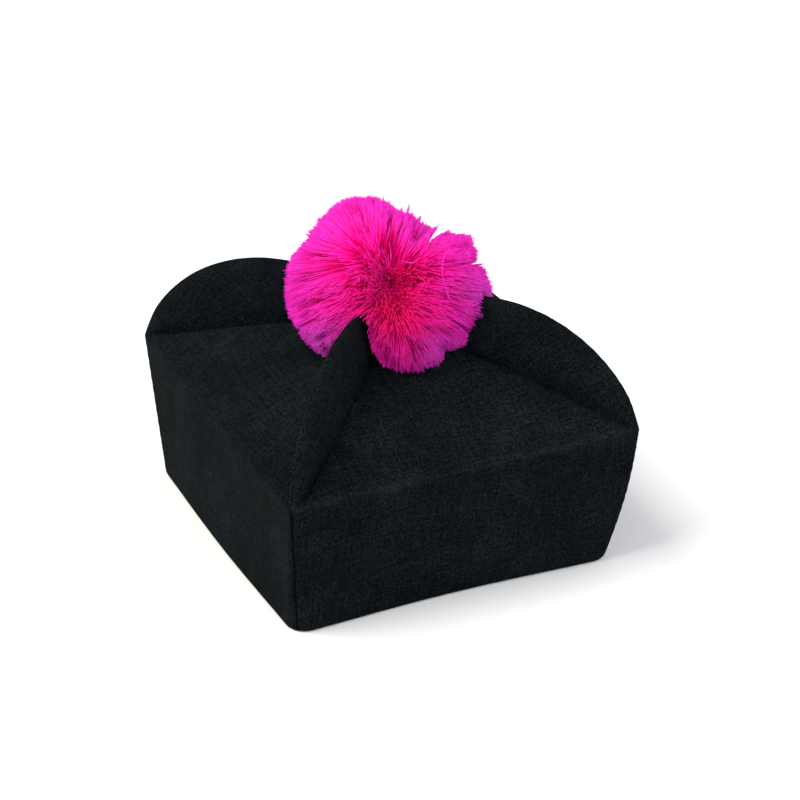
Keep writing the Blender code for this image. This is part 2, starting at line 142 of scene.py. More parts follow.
# Steps of the cloth's grid: round a horn's edge, down its side, round its foot and between the
# horns, then up the hem, round the rim, up the wall, up to a horn's top and down behind it
RIDGE_STEPS, FACE_STEPS, FOOT_STEPS, MIDDLE_STEPS = 6, 8, 4, 74
HEM_STEPS, TURN_STEPS, WALL_STEPS, RISE_STEPS, FALL_STEPS = 5, 6, 40, 56, 30
SECTION = RIDGE_STEPS + FACE_STEPS + FOOT_STEPS
FIRST_OUTER = HEM_STEPS + TURN_STEPS
# Half width of the painted highlight and wear along a horn's edge, in steps of the grid
RIDGE_HIGHLIGHT_WEAR_WIDTH = 1.2
SHARP_EDGE = math.radians(60)

WALL_HEIGHT = 0.068
CAP_TOP = max(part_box(row["node"])[1].z for row in PANELS)


def metres(name, description, default):
    """A property that holds a length in metres."""
    return FloatProperty(name=name, description=description, default=default, unit="LENGTH")


def degrees(name, description, default):
    """A property that holds an angle, with its default given in degrees."""
    return FloatProperty(name=name, description=description, default=math.radians(default),
                         subtype="ANGLE")


def tint(name, description, default):
    """A property that holds a colour."""
    return FloatVectorProperty(name=name, description=description, default=default, size=3,
                               subtype="COLOR", min=0.0, max=1.0)


class CapSizes(bpy.types.PropertyGroup):
    """Sizes of the sewn cap."""
    crown_side: metres("Crown side", "Outer side of the square at the fold", 0.166)
    rim_side: metres("Rim side", "Outer side of the square at the rim", 0.1535)
    wall_height: metres("Wall height", "Height of the fold above the rim", WALL_HEIGHT)
    horn_height: metres("Horn height", "Highest point of a horn above the fold",
                        CAP_TOP - WALL_HEIGHT)
    horn_reach: metres("Horn reach", "From the corner to the horn's highest point", 0.0693)
    crown_rise: metres("Crown rise", "Height of the crown's middle above the fold", 0.0335)
    crown_puff: metres("Crown fullness", "Swelling of the crown between fold and middle", 0.002)
    cloth: metres("Cloth", "Thickness of one layer of cloth", 0.0015)
    seam_gap: metres("Seam gap", "Between two panels along their seam", 0.00008)
    seam_dip: metres("Seam dip", "How far the thread draws the cloth in at a seam", 0.00035)
    seam_width: metres("Seam width", "How far from the seam the cloth starts to dip", 0.0016)
    # Reach of the painted shade along a corner seam
    seam_shade: metres("Seam shade", "Reach of the dark line along a corner seam", 0.00060)
    rim_corner: metres("Rim corner", "Corner radius in plan at the rim", 0.009)
    fold_corner: metres("Fold corner", "Corner radius in plan at the fold", 0.002)
    fold_rounding: metres("Fold rounding", "How far the soft fold reaches to each side", 0.003)
    fold_pinch: metres("Fold pinch", "How far the pressed edge stands out of the fold", 0.00035)
    crease_rounding: metres("Crease rounding", "Softness of the crease at a horn's foot", 0.0007)
    crease_groove: metres("Crease groove", "Depth of the groove along a horn's foot", 0.0012)
    crease_puff: metres("Crease fullness", "Swelling of the crown beside a horn's foot", 0.0018)
    crease_puff_width: metres("Crease fullness width", "From a horn's foot to that swelling",
                              0.0045)
    horn_belly: metres("Horn belly", "How far a horn's side swells out", 0.0015)
    sag_width: metres("Sag width", "How far the sagging of a soft corner reaches", 0.091)
    hip_rounding: metres("Hip rounding", "Half width of the ridge at the hornless corner", 0.006)
    hem_width: metres("Hem width", "Width of the hem turned in at the rim", 0.012)
    rim_rounding: metres("Rim rounding", "Height of the rounded edge at the rim", 0.0011)
    hem_gap: metres("Hem gap", "Between the wall and its turned hem", 0.0002)
    tip_opening: metres("Tip opening", "Square that the tips leave for the thread", 0.007)
    rim_shift: FloatVectorProperty(
        name="Rim shift", description="How far the rim lies off the crown's middle",
        default=(-0.0015, 0.0008), size=2, unit="LENGTH")
    wave: metres("Slow waves", "Height of the slow waves in the cloth", 0.00035)
    pucker: metres("Pucker", "Height of the small puckers along a seam", 0.00010)
    pucker_length: metres("Pucker length", "From one pucker to the next", 0.0058)


class CapFinish(bpy.types.PropertyGroup):
    """Colours and threads of the cap."""
    cloth_colour: tint("Cloth", "Colour of the wool", (0.0040, 0.0055, 0.0065))
    # Lint on the wool; the same teal also paints the highlight along the fold and the horns' edges
    lint_and_highlight_colour: tint("Lint", "Colour of lint on the wool", (0.10, 0.15, 0.15))
    thread_pitch: metres("Thread pitch", "From one thread of the weave to the next", 0.00078)
    # Painted shade: the crimson that the fibres turn to towards their roots and in the hollow
    root_shade_colour: tint("Fibre root", "Colour deep in the pompom", (0.99, 0.0001, 0.090))
    fibre_colour: tint("Fibre", "Colour along the fibres", (0.95, 0.0006, 0.270))
    tip_colour: tint("Fibre tip", "Colour of the cut ends", (0.97, 0.016, 0.50))
    violet_colour: tint("Violet tip", "Colour of the violet ends", (0.58, 0.060, 0.58))


class PompomSizes(bpy.types.PropertyGroup):
    """Sizes of the pompom."""
    width: metres("Width", "Width of the ball of fibres", 0.093)
    height: metres("Height", "Height of the ball of fibres", 0.078)
    lift: metres("Lift", "Height of its middle above the fold", 0.0479)
    clumps: IntProperty(
        name="Clumps", description="Number of clumps of fibres", default=2200, min=100)
    per_clump: IntProperty(
        name="Fibres in a clump", description="Number of fibres in each clump",
        default=24, min=1)
    fibre: metres("Fibre", "Thickness of a fibre", 0.00030)
    heart: metres("Heart", "From the pompom's middle to the fibres' roots", 0.009)
    clearance: metres("Clearance", "Between the fibres and the cloth", 0.0006)


class StageSizes(bpy.types.PropertyGroup):
    """Camera, light and floor."""
    azimuth: degrees("Azimuth", "Direction of the camera round the cap", -25.04)
    elevation: degrees("Elevation", "Height of the camera's direction above the floor", 31.95)
    roll: degrees("Roll", "Turn of the camera about its own direction", 0.63)
    distance: metres("Distance", "From the camera to the frame's origin", 1.815)
    lens: FloatProperty(
        name="Lens", description="Focal length in millimetres", default=181.0)
    floor_size: metres("Floor", "Side of the floor", 30.0)
    floor_colour: tint("Floor colour", "Colour of the floor", (0.84, 0.84, 0.84))


def smooth(share):
    """Smooth step from 0 to 1, for numbers and arrays."""
    share = np.clip(share, 0.0, 1.0)
    return share * share * (3 - 2 * share)


def mix(low, high, share):
    return low + (high - low) * share


# Shape of the cap


def half_side(cap):
    return cap.crown_side / 2


def diagonal(cap):
    """From a corner of the fold to the crown's middle."""
    return half_side(cap) * ROOT2


def crown_height(cap, inset):
    """Height of the crown above the fold, at a distance in from the fold."""
    share = np.clip(inset / half_side(cap), 0.0, 1.0)
    return cap.crown_rise * share + cap.crown_puff * np.sin(np.pi * share)


def horn_radius(cap):
    return (cap.horn_reach ** 2 + cap.horn_height ** 2) / (2 * cap.horn_height)


def horn_height(cap, reach):
    """Height of a horn above the fold: an arc up to its top, then a parabola to the middle."""
    radius = horn_radius(cap)
    before = np.maximum(cap.horn_reach - reach, 0.0)
    rise = cap.horn_height - radius + np.sqrt(np.maximum(radius ** 2 - before ** 2, 0.0))
    share = np.clip((reach - cap.horn_reach) / (diagonal(cap) - cap.horn_reach), 0.0, 1.0)
    return rise - (cap.horn_height - cap.crown_rise) * share ** 2


def horn_stand(cap, reach):
    """Height of a horn above its foot on the crown."""
    return np.maximum(horn_height(cap, reach) - crown_height(cap, reach / ROOT2), 0.0)


def lean_shift(cap, lean, reach, height):
    """Sideways shift of a horn's point, from none at its foot to the full lean at its top."""
    along = np.sin(np.pi * np.clip(reach / diagonal(cap), 0.0, 1.0))
    above = height - cap.wall_height - crown_height(cap, reach / ROOT2)
    share = np.clip(above / np.maximum(horn_stand(cap, reach), cap.cloth), 0.0, 1.0)
    return lean * share * np.sqrt(np.maximum(along, 0.0))


def crown_reaches(cap):
    """Distances from the corner of all crown rows, close together where the horn is steep."""
    radius = horn_radius(cap)
    start = math.acos(min(cap.horn_reach / radius, 1.0))
    angles = np.linspace(start, math.pi / 2, RISE_STEPS + 1)
    rise = cap.horn_reach - radius * np.cos(angles)
    end = diagonal(cap) - cap.tip_opening / ROOT2
    fall = np.linspace(cap.horn_reach, end, FALL_STEPS + 1)[1:]
    return np.concatenate([np.maximum(rise, 0.0), fall])


def foot_spread(cap, foot, reach):
    """How far the foot of a horn's sloping side stands out, at a distance from the corner."""
    share = np.clip(reach / diagonal(cap), 0.0, 1.0)
    return foot * np.maximum(np.sin(np.pi * share), 0.0) ** FOOT_FULLNESS


def horn_section(cap, reach, foot):
    """Distances off the seam's plane and heights above the crown, from ridge to foot."""
    stand = float(horn_stand(cap, reach))
    edge = min(cap.cloth, stand / EDGE_PARTS)
    soft = min(cap.crease_rounding, stand / EDGE_PARTS)
    belly = min(cap.horn_belly, stand / BELLY_PARTS)
    seam = cap.seam_gap / 2
    face = seam + cap.cloth
    points = []
    for step in range(RIDGE_STEPS + 1):
        angle = math.pi / 2 * step / RIDGE_STEPS
        points.append((seam + cap.cloth * math.sin(angle), stand - edge * (1 - math.cos(angle))))
    for step in range(1, FACE_STEPS + 1):
        share = step / FACE_STEPS
        swell = belly * math.sin(math.pi * share ** BELLY_DROP)
        points.append((face + swell, mix(stand - edge, soft, share)))
    for step in range(1, FOOT_STEPS + 1):
        angle = math.pi / 2 * step / FOOT_STEPS
        points.append((face + soft * (1 - math.cos(angle)), soft * (1 - math.sin(angle))))
    points = np.array(points)
    down = 1 - points[:, 1] / max(stand, cap.cloth)
    points[:, 0] += foot_spread(cap, foot, reach) * np.clip(down, 0.0, 1.0) ** FOOT_FLARE
    return points


def plain_section(cap):
    """The same where there is no horn."""
    seam = cap.seam_gap / 2
    off = np.linspace(seam, seam + cap.cloth + cap.crease_rounding, SECTION + 1)
    return np.column_stack([off, np.zeros_like(off)])


def section_end(cap):
    return cap.seam_gap / 2 + cap.cloth + cap.crease_rounding


def middle_shares():
    """Places between the two sections, closer together towards both seams."""
    share = np.arange(1, MIDDLE_STEPS) / MIDDLE_STEPS
    return share - COLUMN_CROWDING * np.sin(2 * np.pi * share)


def corner_line(radius, distance):
    """Rounded corner at distances from its seam: along the diagonal, off it, and its angle."""
    angle = np.minimum(distance / radius, math.pi / 4)
    past = np.maximum(distance - radius * math.pi / 4, 0.0) / ROOT2
    return radius * (ROOT2 - np.cos(angle)) + past, radius * np.sin(angle) + past, angle


def row_distances(cap, side_length, radius):
    """Distance of each column from its nearer seam along a row, with that seam's side."""
    length = side_length - 2 * radius * (1 - math.pi / 4)
    start = np.linspace(cap.seam_gap / 2, section_end(cap), SECTION + 1)
    middle = mix(section_end(cap), length - section_end(cap), middle_shares())
    distance = np.concatenate([start, middle, length - start[::-1]])
    side = np.where(distance <= length / 2, -1.0, 1.0)
    return np.where(side < 0, distance, length - distance), side, length


def place(cap, side, along, off):
    """Plan of the panel that faces -Y; side is -1 at its left seam and 1 at its right."""
    half = half_side(cap)
    return np.column_stack([side * (half - (along + off) / ROOT2), (along - off) / ROOT2 - half])


def inward(side, angle):
    """Unit direction in plan from a rounded corner's line to its middle."""
    return np.column_stack([side * (np.sin(angle) - np.cos(angle)), np.cos(angle)
                            + np.sin(angle)]) / ROOT2


def wall_row(cap, height, depth=0.0):
    """One row of the wall: points, cut pattern and inward directions, at a depth inside it."""
    level = max(height, 0.0) / cap.wall_height
    radius = mix(cap.rim_corner, cap.fold_corner, level)
    side_length = mix(cap.rim_side, cap.crown_side, level)
    distance, side, length = row_distances(cap, side_length, radius)
    along, off, angle = corner_line(radius, distance)
    start = (cap.crown_side - side_length) / ROOT2
    plan = place(cap, side, along + start, np.maximum(off, cap.seam_gap / 2))
    toward = inward(side, angle)
    plan = plan + toward * depth
    points = np.column_stack([plan, np.full(len(plan), height)])
    cut = np.column_stack([side * (length / 2 - distance), np.full(len(plan), height)])
    return points, cut, toward


def crown_row(cap, reach, left_horn, right_horn, foot):
    """One row of crown and horns: points, cut pattern, inward directions, heights above it."""
    side_length = max(cap.crown_side - ROOT2 * reach, CROWN_TURN * cap.fold_corner)
    distance, side, length = row_distances(cap, side_length, cap.fold_corner)
    along, off, angle = corner_line(cap.fold_corner, distance)
    plain = place(cap, side, along + reach, np.maximum(off, cap.seam_gap / 2))
    left = horn_section(cap, reach, foot) if left_horn else plain_section(cap)
    right = (horn_section(cap, reach, 0.0) if right_horn else plain_section(cap))[::-1]
    start = place(cap, -1.0, np.full(SECTION + 1, reach), left[:, 0])
    end = place(cap, 1.0, np.full(SECTION + 1, reach), right[:, 0])
    share = middle_shares()[:, None]
    middle = mix(start[-1], end[0], share)
    off_fold = float(smooth(reach / (CROWN_TURN * cap.fold_corner)))
    plan = mix(plain, np.concatenate([start, middle, end]), off_fold)
    up = np.concatenate([left[:, 1], np.zeros(len(share)), right[:, 1]])
    inset = plan[:, 1] + half_side(cap)
    height = cap.wall_height + crown_height(cap, inset) + up
    slope = math.hypot(1.0, cap.crown_rise / half_side(cap))
    base = cap.wall_height + inset * slope
    flat = np.column_stack([side * (length / 2 - distance), base])
    cut = np.column_stack([plan[:, 0], base])
    for out, part, points in ((-1.0, slice(SECTION, None, -1), left[::-1]),
                              (1.0, slice(-SECTION - 1, None), right)):
        steps = np.linalg.norm(np.diff(points, axis=0), axis=1)
        run = np.concatenate([[0.0], np.cumsum(steps)])
        cut[part] = cut[part][0] + np.column_stack([out * run, run]) / ROOT2
    points = np.column_stack([plan, height])
    return points, mix(flat, cut, off_fold), inward(side, angle), up


def fold_shift(cap, points, toward, up):
    """Rounds the fold between wall and crown, and lets its pressed edge stand out a little."""
    near = np.minimum(off_seam(points, -1), off_seam(points, 1))
    away_from_seam = smooth((near - FOLD_START) / FOLD_SPAN)
    reach = cap.fold_rounding * mix(FOLD_AT_SEAM, 1.0, away_from_seam)
    inset = points[..., 1] + half_side(cap)
    on_crown = points[..., 2] - up > cap.wall_height - TINY
    slope = math.atan(cap.crown_rise / half_side(cap) + math.pi * cap.crown_puff / half_side(cap))
    run = np.where(on_crown, np.maximum(inset, 0.0) / math.cos(slope),
                   points[..., 2] - cap.wall_height)
    share = np.clip((run + reach) / (2 * reach), 0.0, 1.0)
    down = np.where(on_crown, -((1 - share) ** 2) * reach, -((1 - share) ** 2) * reach - run)
    into = np.where(on_crown, share ** 2 * reach - run, share ** 2 * reach)
    off_horn = 1 - smooth(up / (2 * reach))
    inside = (np.abs(run) < reach) * off_horn
    pinch = cap.fold_pinch * np.exp(-(run / (reach / 3)) ** 2) * off_horn * away_from_seam
    wall_lean = (cap.crown_side - cap.rim_side) / 2 / cap.wall_height
    in_plan = inside * (into * math.cos(slope) - down * wall_lean) - pinch * PINCH_OUT
    rise = inside * (down + into * math.sin(slope)) + pinch * PINCH_UP
    return np.concatenate([toward * in_plan[..., None], rise[..., None]], axis=-1)


def off_seam(points, side):
    """Distance of points off the plane of the panel's left or right seam."""
    return (-side * points[..., 0] - points[..., 1]) / ROOT2


def away(side):
    """Direction off that plane, into the panel."""
    return np.array([-side, -1.0, 0.0]) / ROOT2


def reach_of(cap, points, side):
    return diagonal(cap) - np.abs(side * points[..., 0] - points[..., 1]) / ROOT2


def crease_shift(cap, points, up, horns, foot):
    """Groove along each horn's foot, fullness beside it, and the rounded hip without a horn."""
    rise = np.zeros(points.shape[:-1])
    on_crown = points[..., 2] > cap.wall_height - cap.fold_rounding
    for side, horn in zip((-1, 1), horns):
        off = off_seam(points, side)
        reach = reach_of(cap, points, side)
        ends = smooth(reach / CREASE_START) * smooth((diagonal(cap) - reach) / CREASE_END)
        if horn:
            spread_out = foot_spread(cap, foot if side < 0 else 0.0, reach)
            past = off - section_end(cap) - spread_out
            width = cap.crease_puff_width
            beyond = np.maximum(past, 0.0) / width
            full = cap.crease_puff * beyond * np.exp(1 - beyond)
            groove = cap.crease_groove * np.exp(-(past / GROOVE_WIDTH) ** 2)
            soft = 1 - CREASE_SOFTENING * smooth(spread_out / GROOVE_WIDTH)
            rise += (full - groove) * ends * soft * (up < cap.crease_rounding)
        else:
            width = np.minimum(cap.hip_rounding, HIP_END * (diagonal(cap) - reach))
            slope = cap.crown_rise / diagonal(cap)
            share = np.clip(1 - off / np.maximum(width, cap.seam_gap), 0.0, 1.0)
            rise -= slope * width / 2 * share ** 2 * on_crown
    return rise


def settle(cap, points, panel):
    """Lets the wall stand as soft cloth does: rim off the middle, drawn in, corner swollen."""
    turn = math.radians(-panel["turn"])
    shift_x = cap.rim_shift[0] * math.cos(turn) - cap.rim_shift[1] * math.sin(turn)
    shift_y = cap.rim_shift[0] * math.sin(turn) + cap.rim_shift[1] * math.cos(turn)
    low = np.clip(1 - points[..., 2] / cap.wall_height, 0.0, 1.0)
    across = points[..., 0] / half_side(cap)
    points[..., 0] += shift_x * low
    points[..., 1] += shift_y * low
    points[..., 1] += panel["hollow"] * low * np.maximum(1 - across ** 2, 0.0) ** 2
    for side, seam in ((-1, panel["left"]), (1, panel["right"])):
        swell = SEAMS[seam]["belly"] * np.sin(np.pi * low)
        near = smooth((side * across + 1) / 2) ** 2
        out = np.array([side, -1.0, 0.0]) / ROOT2
        points += (swell * near)[..., None] * out
        gap = np.hypot(points[..., 0] - side * half_side(cap), points[..., 1] + half_side(cap))
        sag = SEAMS[seam]["sag"] * smooth(1 - gap / cap.sag_width) * (1 - low)
        points -= sag[..., None] * (SAG_INWARD * out + np.array([0.0, 0.0, 1.0]))


def grid_normals(points):
    """Outward unit normals of a grid whose rows run to the right and follow each other up."""
    across = np.gradient(points, axis=1)
    along = np.gradient(points, axis=0)
    normals = np.cross(across, along)
    length = np.linalg.norm(normals, axis=-1, keepdims=True)
    return normals / np.maximum(length, 1e-12)


def soft_relief(cap, cut, panel):
    """How far the soft cloth stands out at each point of the cut pattern."""
    half = half_side(cap)
    across, up = cut[..., 0] / half, cut[..., 1] / cap.wall_height
    phase = panel["waves"]
    wave = np.sin(FIRST_WAVE["across"] * across + phase)
    wave = wave * np.cos(FIRST_WAVE["up"] * up + FIRST_WAVE["phase"] * phase)
    for row in WAVES:
        turn = row["across"] * across + row["up"] * up + row["phase"] * phase
        wave += row["share"] * np.sin(turn)
    relief = cap.wave * wave
    for dent in (row for row in DENTS if row["node"] == panel["node"]):
        gap_x = cut[..., 0] - dent["across"] * half
        gap_y = cut[..., 1] - dent["up"] * cap.wall_height
        relief += dent["out"] * np.exp(-(gap_x ** 2 + gap_y ** 2) / dent["width"] ** 2)
    return relief


def seam_fade(points, reach):
    """0 at both seams of a panel and 1 away from them."""
    left = smooth(off_seam(points, -1) / reach)
    return left * smooth(off_seam(points, 1) / reach)


def hem_rows(cap):
    """Rows of the turned hem and of the rounded edge under the rim."""
    depth = 2 * cap.cloth + cap.hem_gap
    rows = []
    for height in np.linspace(cap.hem_width, cap.rim_rounding, HEM_STEPS + 1):
        points, cut, toward = wall_row(cap, float(height), depth)
        cut[:, 1] = -height
        rows.append((points, cut, toward))
    for step in range(1, TURN_STEPS):
        angle = math.pi * step / TURN_STEPS
        points, cut, toward = wall_row(cap, 0.0, depth / 2 * (1 + math.cos(angle)))
        points[:, 2] = cap.rim_rounding * (1 - math.sin(angle))
        cut[:, 1] = cap.rim_rounding * (2 * step / TURN_STEPS - 1)
        rows.append((points, cut, toward))
    return rows


def horns_of(panel):
    """Whether a panel has horns at its left and right seams."""
    return SEAMS[panel["left"]]["horn"], SEAMS[panel["right"]]["horn"]


def panel_rows(cap, panel):
    """Plain form of a panel, row by row: points, cut pattern, inward directions, heights."""
    rows = hem_rows(cap)
    for share in np.linspace(0.0, 1.0, WALL_STEPS + 1)[:-1]:
        crowded = share + ROW_CROWDING * math.sin(math.pi * share)
        height = mix(cap.rim_rounding, cap.wall_height, crowded)
        rows.append(wall_row(cap, float(height)))
    rows = [(points, cut, toward, np.zeros(len(points))) for points, cut, toward in rows]
    for reach in crown_reaches(cap):
        rows.append(crown_row(cap, float(reach), *horns_of(panel), panel["foot"]))
    return (np.array(part) for part in zip(*rows))


def panel_grid(cap, panel):
    """Both faces of a panel as rows of points, with its cut pattern."""
    points, cut, toward, up = panel_rows(cap, panel)
    lift = crease_shift(cap, points, up, horns_of(panel), panel["foot"])
    fold = fold_shift(cap, points, toward, up)
    fold[:FIRST_OUTER] = 0.0
    on_crown = points[..., 2] > cap.wall_height - cap.fold_rounding
    points = points + fold
    points[..., 2] += lift * on_crown
    fade = mix(RELIEF_AT_SEAM, 1.0, seam_fade(points, RELIEF_OFF_SEAM))
    relief = soft_relief(cap, cut, panel) * fade
    relief[:FIRST_OUTER] = relief[FIRST_OUTER]
    relief *= 1 - smooth((up - cap.crease_rounding) / RELIEF_UP_HORN) * RELIEF_FADE
    relief *= smooth(points[..., 2] / RELIEF_OFF_RIM)
    normals = grid_normals(points)
    points = points + normals * relief[..., None]
    inner = points - normals * cap.cloth
    inner[..., 2] = np.maximum(inner[..., 2], 0.0)
    outer = points + normals * pucker_relief(cap, points, cut)[..., None]
    outer = outer + seam_pull(cap, outer, toward)
    both = np.stack([outer, inner])
    for side in (-1, 1):
        short = np.maximum(cap.seam_gap / 2 - off_seam(both, side), 0.0)
        both = both + away(side) * short[..., None]
    for side, seam in ((-1, panel["left"]), (1, panel["right"])):
        lean = SEAMS[seam]["lean"]
        shift = lean_shift(cap, lean, reach_of(cap, both, side), both[..., 2])
        both = both + away(side) * (side * shift)[..., None]
    return both, cut


def seam_pull(cap, points, toward):
    """How far the thread draws the cloth in along both seams: inward on walls, down on top."""
    near = np.minimum(off_seam(points, -1), off_seam(points, 1)) - cap.seam_gap / 2
    pull = cap.seam_dip * np.clip(1 - near / cap.seam_width, 0.0, 1.0) ** 2
    pull[:FIRST_OUTER] = 0.0
    top = smooth((points[..., 2] - cap.wall_height + SEAM_TURN) / (2 * SEAM_TURN))
    pull = pull * mix(1.0, SEAM_PULL_TOP, top)
    shift = toward * (pull * (1 - top))[..., None]
    return np.concatenate([shift, -(pull * top)[..., None]], axis=-1)


def pucker_relief(cap, points, cut):
    """Small puckers that fade out away from the seams."""
    run = cut[..., 1] + np.abs(cut[..., 0]) * PUCKER_SLANT
    turn = 2 * np.pi * run / cap.pucker_length
    fine = np.sin(FINE_PUCKER["pace"] * turn + FINE_PUCKER["phase"])
    ripple = np.sin(turn) + FINE_PUCKER["share"] * fine
    near = np.minimum(off_seam(points, -1), off_seam(points, 1))
    fade = np.exp(-near / PUCKER_FADE) * smooth(near / PUCKER_START)
    fold = smooth(np.abs(points[..., 2] - cap.wall_height) / PUCKER_OFF_FOLD)
    return cap.pucker * ripple * fade * fold


def grid_faces(rows, columns, inner_start):
    """Faces of a closed sheet: outer grid, inner grid and the strip round their edges."""
    index = np.arange(rows * columns).reshape(rows, columns)
    near = (index[:-1, :-1], index[:-1, 1:], index[1:, 1:], index[1:, :-1])
    outer = np.stack(near, axis=-1).reshape(-1, 4)
    inner = outer[:, ::-1] + inner_start
    rim = np.concatenate([index[0, ::-1], index[1:, 0], index[-1, 1:], index[-2:0:-1, -1]])
    following = np.roll(rim, -1)
    strip = np.column_stack([rim, following, following + inner_start, rim + inner_start])
    return np.concatenate([outer, inner, strip])


def link_new(name, data):
    """A new object in the scene."""
    made = bpy.data.objects.new(name, data)
    bpy.context.scene.collection.objects.link(made)
    return made


def mesh_of(name, points, faces):
    """A mesh object of quads, shaded smooth except over sharp edges."""
    mesh = bpy.data.meshes.new(name)
    mesh.from_pydata(points.tolist(), [], faces.tolist())
    mesh.shade_smooth()
    mesh.set_sharp_from_angle(angle=SHARP_EDGE)
    return link_new(name, mesh)


def ridge_highlight_wear(panel, shape):
    """Painted highlight and wear: 1 along the rounded edges of a panel's horns and 0 away from
    them.
    """
    line = np.zeros(shape)
    column = np.arange(shape[1])
    for horn, from_edge in zip(horns_of(panel), (column, column[::-1])):
        if horn:
            line[FIRST_OUTER + WALL_STEPS:] += np.exp(
                -((from_edge - RIDGE_STEPS) / RIDGE_HIGHLIGHT_WEAR_WIDTH) ** 2)
    return line


def seam_shade_line(cap, shape):
    """Painted shade: 1 along the corner seams of a panel's wall, where the cloth dips, and 0 away
    from them.
    """
    line = np.zeros(shape)
    column = np.arange(shape[1])
    near = np.minimum(column, column[::-1]) * section_end(cap) / SECTION
    line[FIRST_OUTER:FIRST_OUTER + WALL_STEPS] = np.exp(-(near / cap.seam_shade) ** 2)
    return line


def add_values(mesh, values):
    """Adds point attributes to a mesh."""
    for key, value in values.items():
        attribute = mesh.attributes.new(key, "FLOAT", "POINT")
        attribute.data.foreach_set("value", value.astype(np.float32).ravel())


def sew_panel(cap, panel):
    """One cloth panel: wall with its turned hem, quarter of the crown and halves of horns."""
    both, cut = panel_grid(cap, panel)
    settle(cap, both, panel)
    rows, columns = both.shape[1:3]
    both = both.reshape(-1, 3)
    turn = np.array(Matrix.Rotation(math.radians(panel["turn"]), 3, "Z"))
    name = panel["node"].replace("panel", "cloth")
    made = mesh_of(name, both @ turn.T, grid_faces(rows, columns, rows * columns))
    layer = made.data.uv_layers.new(name="cut")
    corner = np.empty(len(made.data.loops), dtype=np.int64)
    made.data.loops.foreach_get("vertex_index", corner)
    flat = np.concatenate([cut.reshape(-1, 2)] * 2)
    layer.data.foreach_set("uv", flat[corner].astype(np.float32).ravel())
    ridge, seam = ridge_highlight_wear(panel, (rows, columns)), seam_shade_line(cap, (rows, columns))
    add_values(made.data, {"ridge": np.stack([ridge, np.zeros_like(ridge)]),
                           "seam": np.stack([seam, np.zeros_like(seam)]),
                           "worn": np.full(2 * rows * columns, panel["worn"])})
    return made, cut


# Materials


def feed(tree, socket, value):
    """Links an output to a socket, or sets the socket's own value."""
    if isinstance(value, bpy.types.NodeSocket):
        tree.links.new(value, socket)
    else:
        socket.default_value = value


def feed_all(tree, node, inputs):
    for key, value in inputs.items():
        feed(tree, node.inputs[key], value)


def add_node(tree, kind, inputs=(), **settings):
    """A shader node with its settings, and its inputs fed by name or number."""
    node = tree.nodes.new("ShaderNode" + kind)
    for key, value in settings.items():
        setattr(node, key, value)
    feed_all(tree, node, dict(inputs))
    return node


def node_group(name, inputs, outputs):
    """An empty shader node group and its sockets; None stands for a vector."""
    group = bpy.data.node_groups.new(name, "ShaderNodeTree")
    for label, value in inputs.items():
        kind = "NodeSocketVector" if value is None else "NodeSocketFloat"
        socket = group.interface.new_socket(label, in_out="INPUT", socket_type=kind)
        if value is not None:
            socket.default_value = value
    for label in outputs:
        group.interface.new_socket(label, in_out="OUTPUT", socket_type="NodeSocketFloat")
    entry, leave = group.nodes.new("NodeGroupInput"), group.nodes.new("NodeGroupOutput")
    return group, entry.outputs, leave


def place_group(tree, group, inputs):
    return add_node(tree, "Group", inputs, node_tree=group).outputs


def maths(tree, operation, *values):
    return add_node(tree, "Math", enumerate(values), operation=operation).outputs[0]


def times(tree, first, second):
    return maths(tree, "MULTIPLY", first, second)


def vector_maths(tree, operation, inputs):
    return add_node(tree, "VectorMath", inputs, operation=operation).outputs[0]


def blend(tree, share, first, second, mode="MIX"):
    return add_node(tree, "Mix", {0: share, 6: first, 7: second}, data_type="RGBA",
                    blend_type=mode).outputs[2]


def spread(tree, value, low, high, to_low=0.0, to_high=1.0):
    """Maps a range of values smoothly to another."""
    return add_node(tree, "MapRange", enumerate((value, low, high, to_low, to_high)),
                    interpolation_type="SMOOTHSTEP").outputs[0]


def noise(tree, vector, scale, detail=2.0, roughness=0.5):
    return add_node(tree, "TexNoise", {"Vector": vector, "Scale": scale, "Detail": detail,
                                       "Roughness": roughness}).outputs[0]


def attributes(tree, *names):
    """Values that the mesh carries at its points."""
    return [add_node(tree, "Attribute", attribute_name=name).outputs["Fac"] for name in names]


def object_place(tree):
    return add_node(tree, "TexCoord").outputs["Object"]


def tone(colour, share=1.0):
    """A colour at a share of its strength."""
    return tuple(share * part for part in colour) + (1.0,)


def shaded(tree, colour, shade):
    """A colour times a grey value."""
    grey = add_node(tree, "CombineColor", enumerate((shade, shade, shade))).outputs[0]
    return blend(tree, 1.0, colour, grey, "MULTIPLY")


def bump(tree, height, distance, strength=1.0):
    return add_node(tree, "Bump", {"Height": height, "Distance": distance,
                                   "Strength": strength}).outputs[0]


def new_material(name):
    made = bpy.data.materials.new(name)
    made.use_nodes = True
    return made, made.node_tree, made.node_tree.nodes["Principled BSDF"]


# Patterns of the materials, in cells for each metre: wander of the weave and how far it carries
# the threads, specks, fuzz, mottling, patches of painted highlight and wear, packed fibres, the
# thread's twist, the floor
WANDER_CELLS, WANDER = 260.0, 0.0006
SPECK_CELLS, FUZZ_CELLS, MOTTLE_CELLS, HIGHLIGHT_WEAR_CELLS = 420.0, 1000.0, 34.0, 32.0
PACKED_CELLS, TWIST_CELLS, FLOOR_CELLS = 900.0, 420.0, 3.0
# Slubs: how much longer than wide, as a share
SLUB_STRETCH = 0.06


